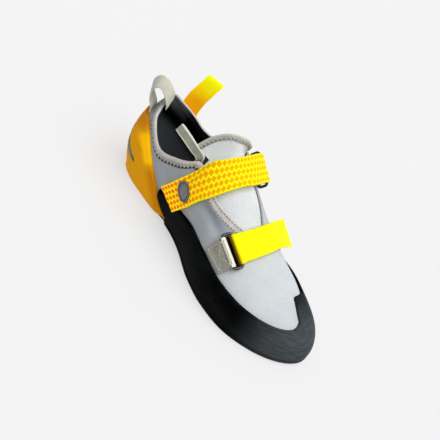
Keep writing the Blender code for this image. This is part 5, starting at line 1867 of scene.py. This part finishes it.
def make_loops():
    foot = wall_points(HEEL_LOOP_T, HEEL_LOOP_FOOT, HEEL_LOOP_LIFT)
    rise = tuple(np.append(HEEL_LOOP_SPOT + HEEL_LOOP_OUT * out, height) for out, height in HEEL_LOOP)
    heel = loop_tape(foot + rise, HEEL_LOOP_WAYS, HEEL_LOOP_WIDTH)
    add_tape("heel_loop_tape", heel, PULL_TAPE, "heel_loop")
    heights = last_length(SIDE_LOOP_T)[0] - SIDE_LOOP_DROP
    near = wall_points(SIDE_LOOP_T, heights, SIDE_LOOP_LIFT)
    far = wall_points(SIDE_LOOP_T, heights, SIDE_LOOP_LIFT + LEG_STEP)
    path = near + SIDE_LOOP_UP + (SIDE_LOOP_TIP,) + SIDE_LOOP_DOWN + far[::-1]
    side = loop_tape(path, SIDE_LOOP_WAYS, SIDE_LOOP_WIDTH)
    add_tape("side_loop_tape", side, side_loop_look(side.length), "side_loop")
    heights = last_length(FRONT_LOOP_T)[0] - FRONT_LOOP_DROP
    near = wall_points(FRONT_LOOP_T, heights, FRONT_LOOP_LIFT)
    far = wall_points(FRONT_LOOP_T, heights, FRONT_LOOP_LIFT - LEG_STEP)
    front = loop_tape(near + FRONT_LOOP + far[::-1], FRONT_LOOP_WAYS, FRONT_LOOP_WIDTH)
    look = tape_look("loop_tape", srgb(162, 165, 148), srgb(124, 126, 112), pitch=0.6,
                     highlight_edge=FRONT_LOOP_WIDTH / 2 - FRONT_HIGHLIGHT_EDGE)
    add_tape("front_loop_tape", front, look, "front_loop")


# plain oval patch on the upper strap

PATCH_END = 25.0
PATCH_HALF_U = 7.0
PATCH_HALF_V = 10.0
# rings of the patch: shares of its half sizes, heights above the strap, and how dark they are
PATCH_RINGS = (0.3, 0.6, 0.8, 0.86, 0.92, 0.97, 1.0)
PATCH_LIFT = (0.5, 0.5, 0.5, 0.95, 0.95, 0.7, -0.2)
PATCH_DARK = (0.0, 0.0, 0.9, 0.1, 0.0, 0.9, 1.0)
PATCH_SIDES = 48
SPOT_PASSES = 8


def tape_spots(tape, middle, off_u, off_v):
    """Places on a tape at straight distances along and across from a place on its middle line."""
    centre, ahead = tape.place([middle, middle + 1], [0, 0], TINY)
    first = unit(ahead - centre)
    second = tape.place([middle], [1], TINY)[0] - centre
    second = unit(second - first * (second @ first))
    target = centre + off_u[:, None] * first + off_v[:, None] * second
    u = middle + off_u
    v = off_v.copy()
    for _ in range(SPOT_PASSES):
        miss = target - tape.place(u, v, TINY)
        u = u + miss @ first
        v = v + miss @ second
    return u, v


def make_patch(strap):
    angle = np.linspace(0, 2 * np.pi, PATCH_SIDES, endpoint=False)
    rows = []
    for ring, lift in zip(PATCH_RINGS, PATCH_LIFT):
        u, v = tape_spots(strap, strap.length - PATCH_END, PATCH_HALF_U * ring * np.cos(angle),
                          PATCH_HALF_V * ring * np.sin(angle))
        base = strap.place(u, v, TINY)
        rows.append(base + unit(strap.place(u, v, 1.0) - base) * lift)
    grid = np.stack(rows)
    points = grid.reshape(-1, 3)
    dark = np.repeat(PATCH_DARK, PATCH_SIDES)[:, None]
    cloth = np.concatenate([points[:, :2], dark], 1)
    add_piece("strap_patch", points, tube_faces(grid), [INLAY], (), cloth)


# floor, light and camera

FLOOR_HALF = 4.0
SUN_WAY = np.array([0.35, 0.08, 0.93])
SUN_STRENGTH = 2.35
SUN_ANGLE = 60.0
WORLD_LATERAL = 0.2
WORLD_MEDIAL = 0.66
VIEW_AZIMUTH = 32.2
VIEW_ELEVATION = 37.9
VIEW_ROLL = 30.7
VIEW_DISTANCE = 857.0
VIEW_TARGET = np.array([117.8, 0.9, 32.5])
FOCAL_PIXELS = 992.0
PICTURE = 440
SENSOR = 36.0


def turned(back, roll=0.0):
    """Rotation whose own z looks along back, turned about it by roll."""
    up = unit(np.array([0.0, 0.0, 1.0]) - back * back[2])
    right = np.cross(up, back)
    first = math.cos(roll) * right + math.sin(roll) * up
    second = math.cos(roll) * up - math.sin(roll) * right
    return Matrix(np.stack([first, second, back], 1).tolist()).to_4x4()


def add_floor():
    mesh = bpy.data.meshes.new("floor")
    corners = [(-FLOOR_HALF, -FLOOR_HALF, 0), (FLOOR_HALF, -FLOOR_HALF, 0),
               (FLOOR_HALF, FLOOR_HALF, 0), (-FLOOR_HALF, FLOOR_HALF, 0)]
    mesh.from_pydata(corners, [], [(0, 1, 2, 3)])
    mesh.materials.append(floor_look())
    floor = bpy.data.objects.new("floor", mesh)
    bpy.context.scene.collection.objects.link(floor)


def add_light():
    sun = bpy.data.lights.new("sun", "SUN")
    sun.energy = SUN_STRENGTH
    sun.angle = math.radians(SUN_ANGLE)
    lamp = bpy.data.objects.new("sun", sun)
    lamp.matrix_world = turned(unit(SUN_WAY))
    bpy.context.scene.collection.objects.link(lamp)
    world = bpy.data.worlds.new("studio")
    world.use_nodes = True
    tree = world.node_tree
    split = tree.nodes.new("ShaderNodeSeparateXYZ")
    span = tree.nodes.new("ShaderNodeMapRange")
    for socket, value in zip(list(span.inputs)[1:], (-1.0, 1.0, WORLD_LATERAL, WORLD_MEDIAL)):
        socket.default_value = value
    tree.links.new(tree.nodes.new("ShaderNodeTexCoord").outputs["Generated"], split.inputs[0])
    tree.links.new(split.outputs["Y"], span.inputs[0])
    tree.nodes["Background"].inputs["Color"].default_value = (1.0, 1.0, 1.0, 1.0)
    tree.links.new(span.outputs[0], tree.nodes["Background"].inputs["Strength"])
    bpy.context.scene.world = world
    bpy.context.scene.view_settings.view_transform = "Standard"


def add_camera():
    a, e = math.radians(VIEW_AZIMUTH), math.radians(VIEW_ELEVATION)
    back = np.array([math.sin(a) * math.cos(e), -math.cos(a) * math.cos(e), math.sin(e)])
    data = bpy.data.cameras.new("camera")
    data.sensor_width = SENSOR
    data.lens = SENSOR * FOCAL_PIXELS / PICTURE
    camera = bpy.data.objects.new("camera", data)
    matrix = turned(back, math.radians(VIEW_ROLL))
    matrix.translation = (VIEW_TARGET + back * VIEW_DISTANCE - ORIGIN) * MM
    camera.matrix_world = matrix
    bpy.context.scene.collection.objects.link(camera)
    bpy.context.scene.camera = camera


add_camera()
add_light()
add_floor()
make_sole()
make_upper()
make_rand()
make_heel_cup()
make_slot_inlay()
make_collar_binding()
make_tongue()
upper_strap = make_upper_closure()
make_lower_closure()
make_loops()
make_patch(upper_strap)

bpy.context.view_layer.update()
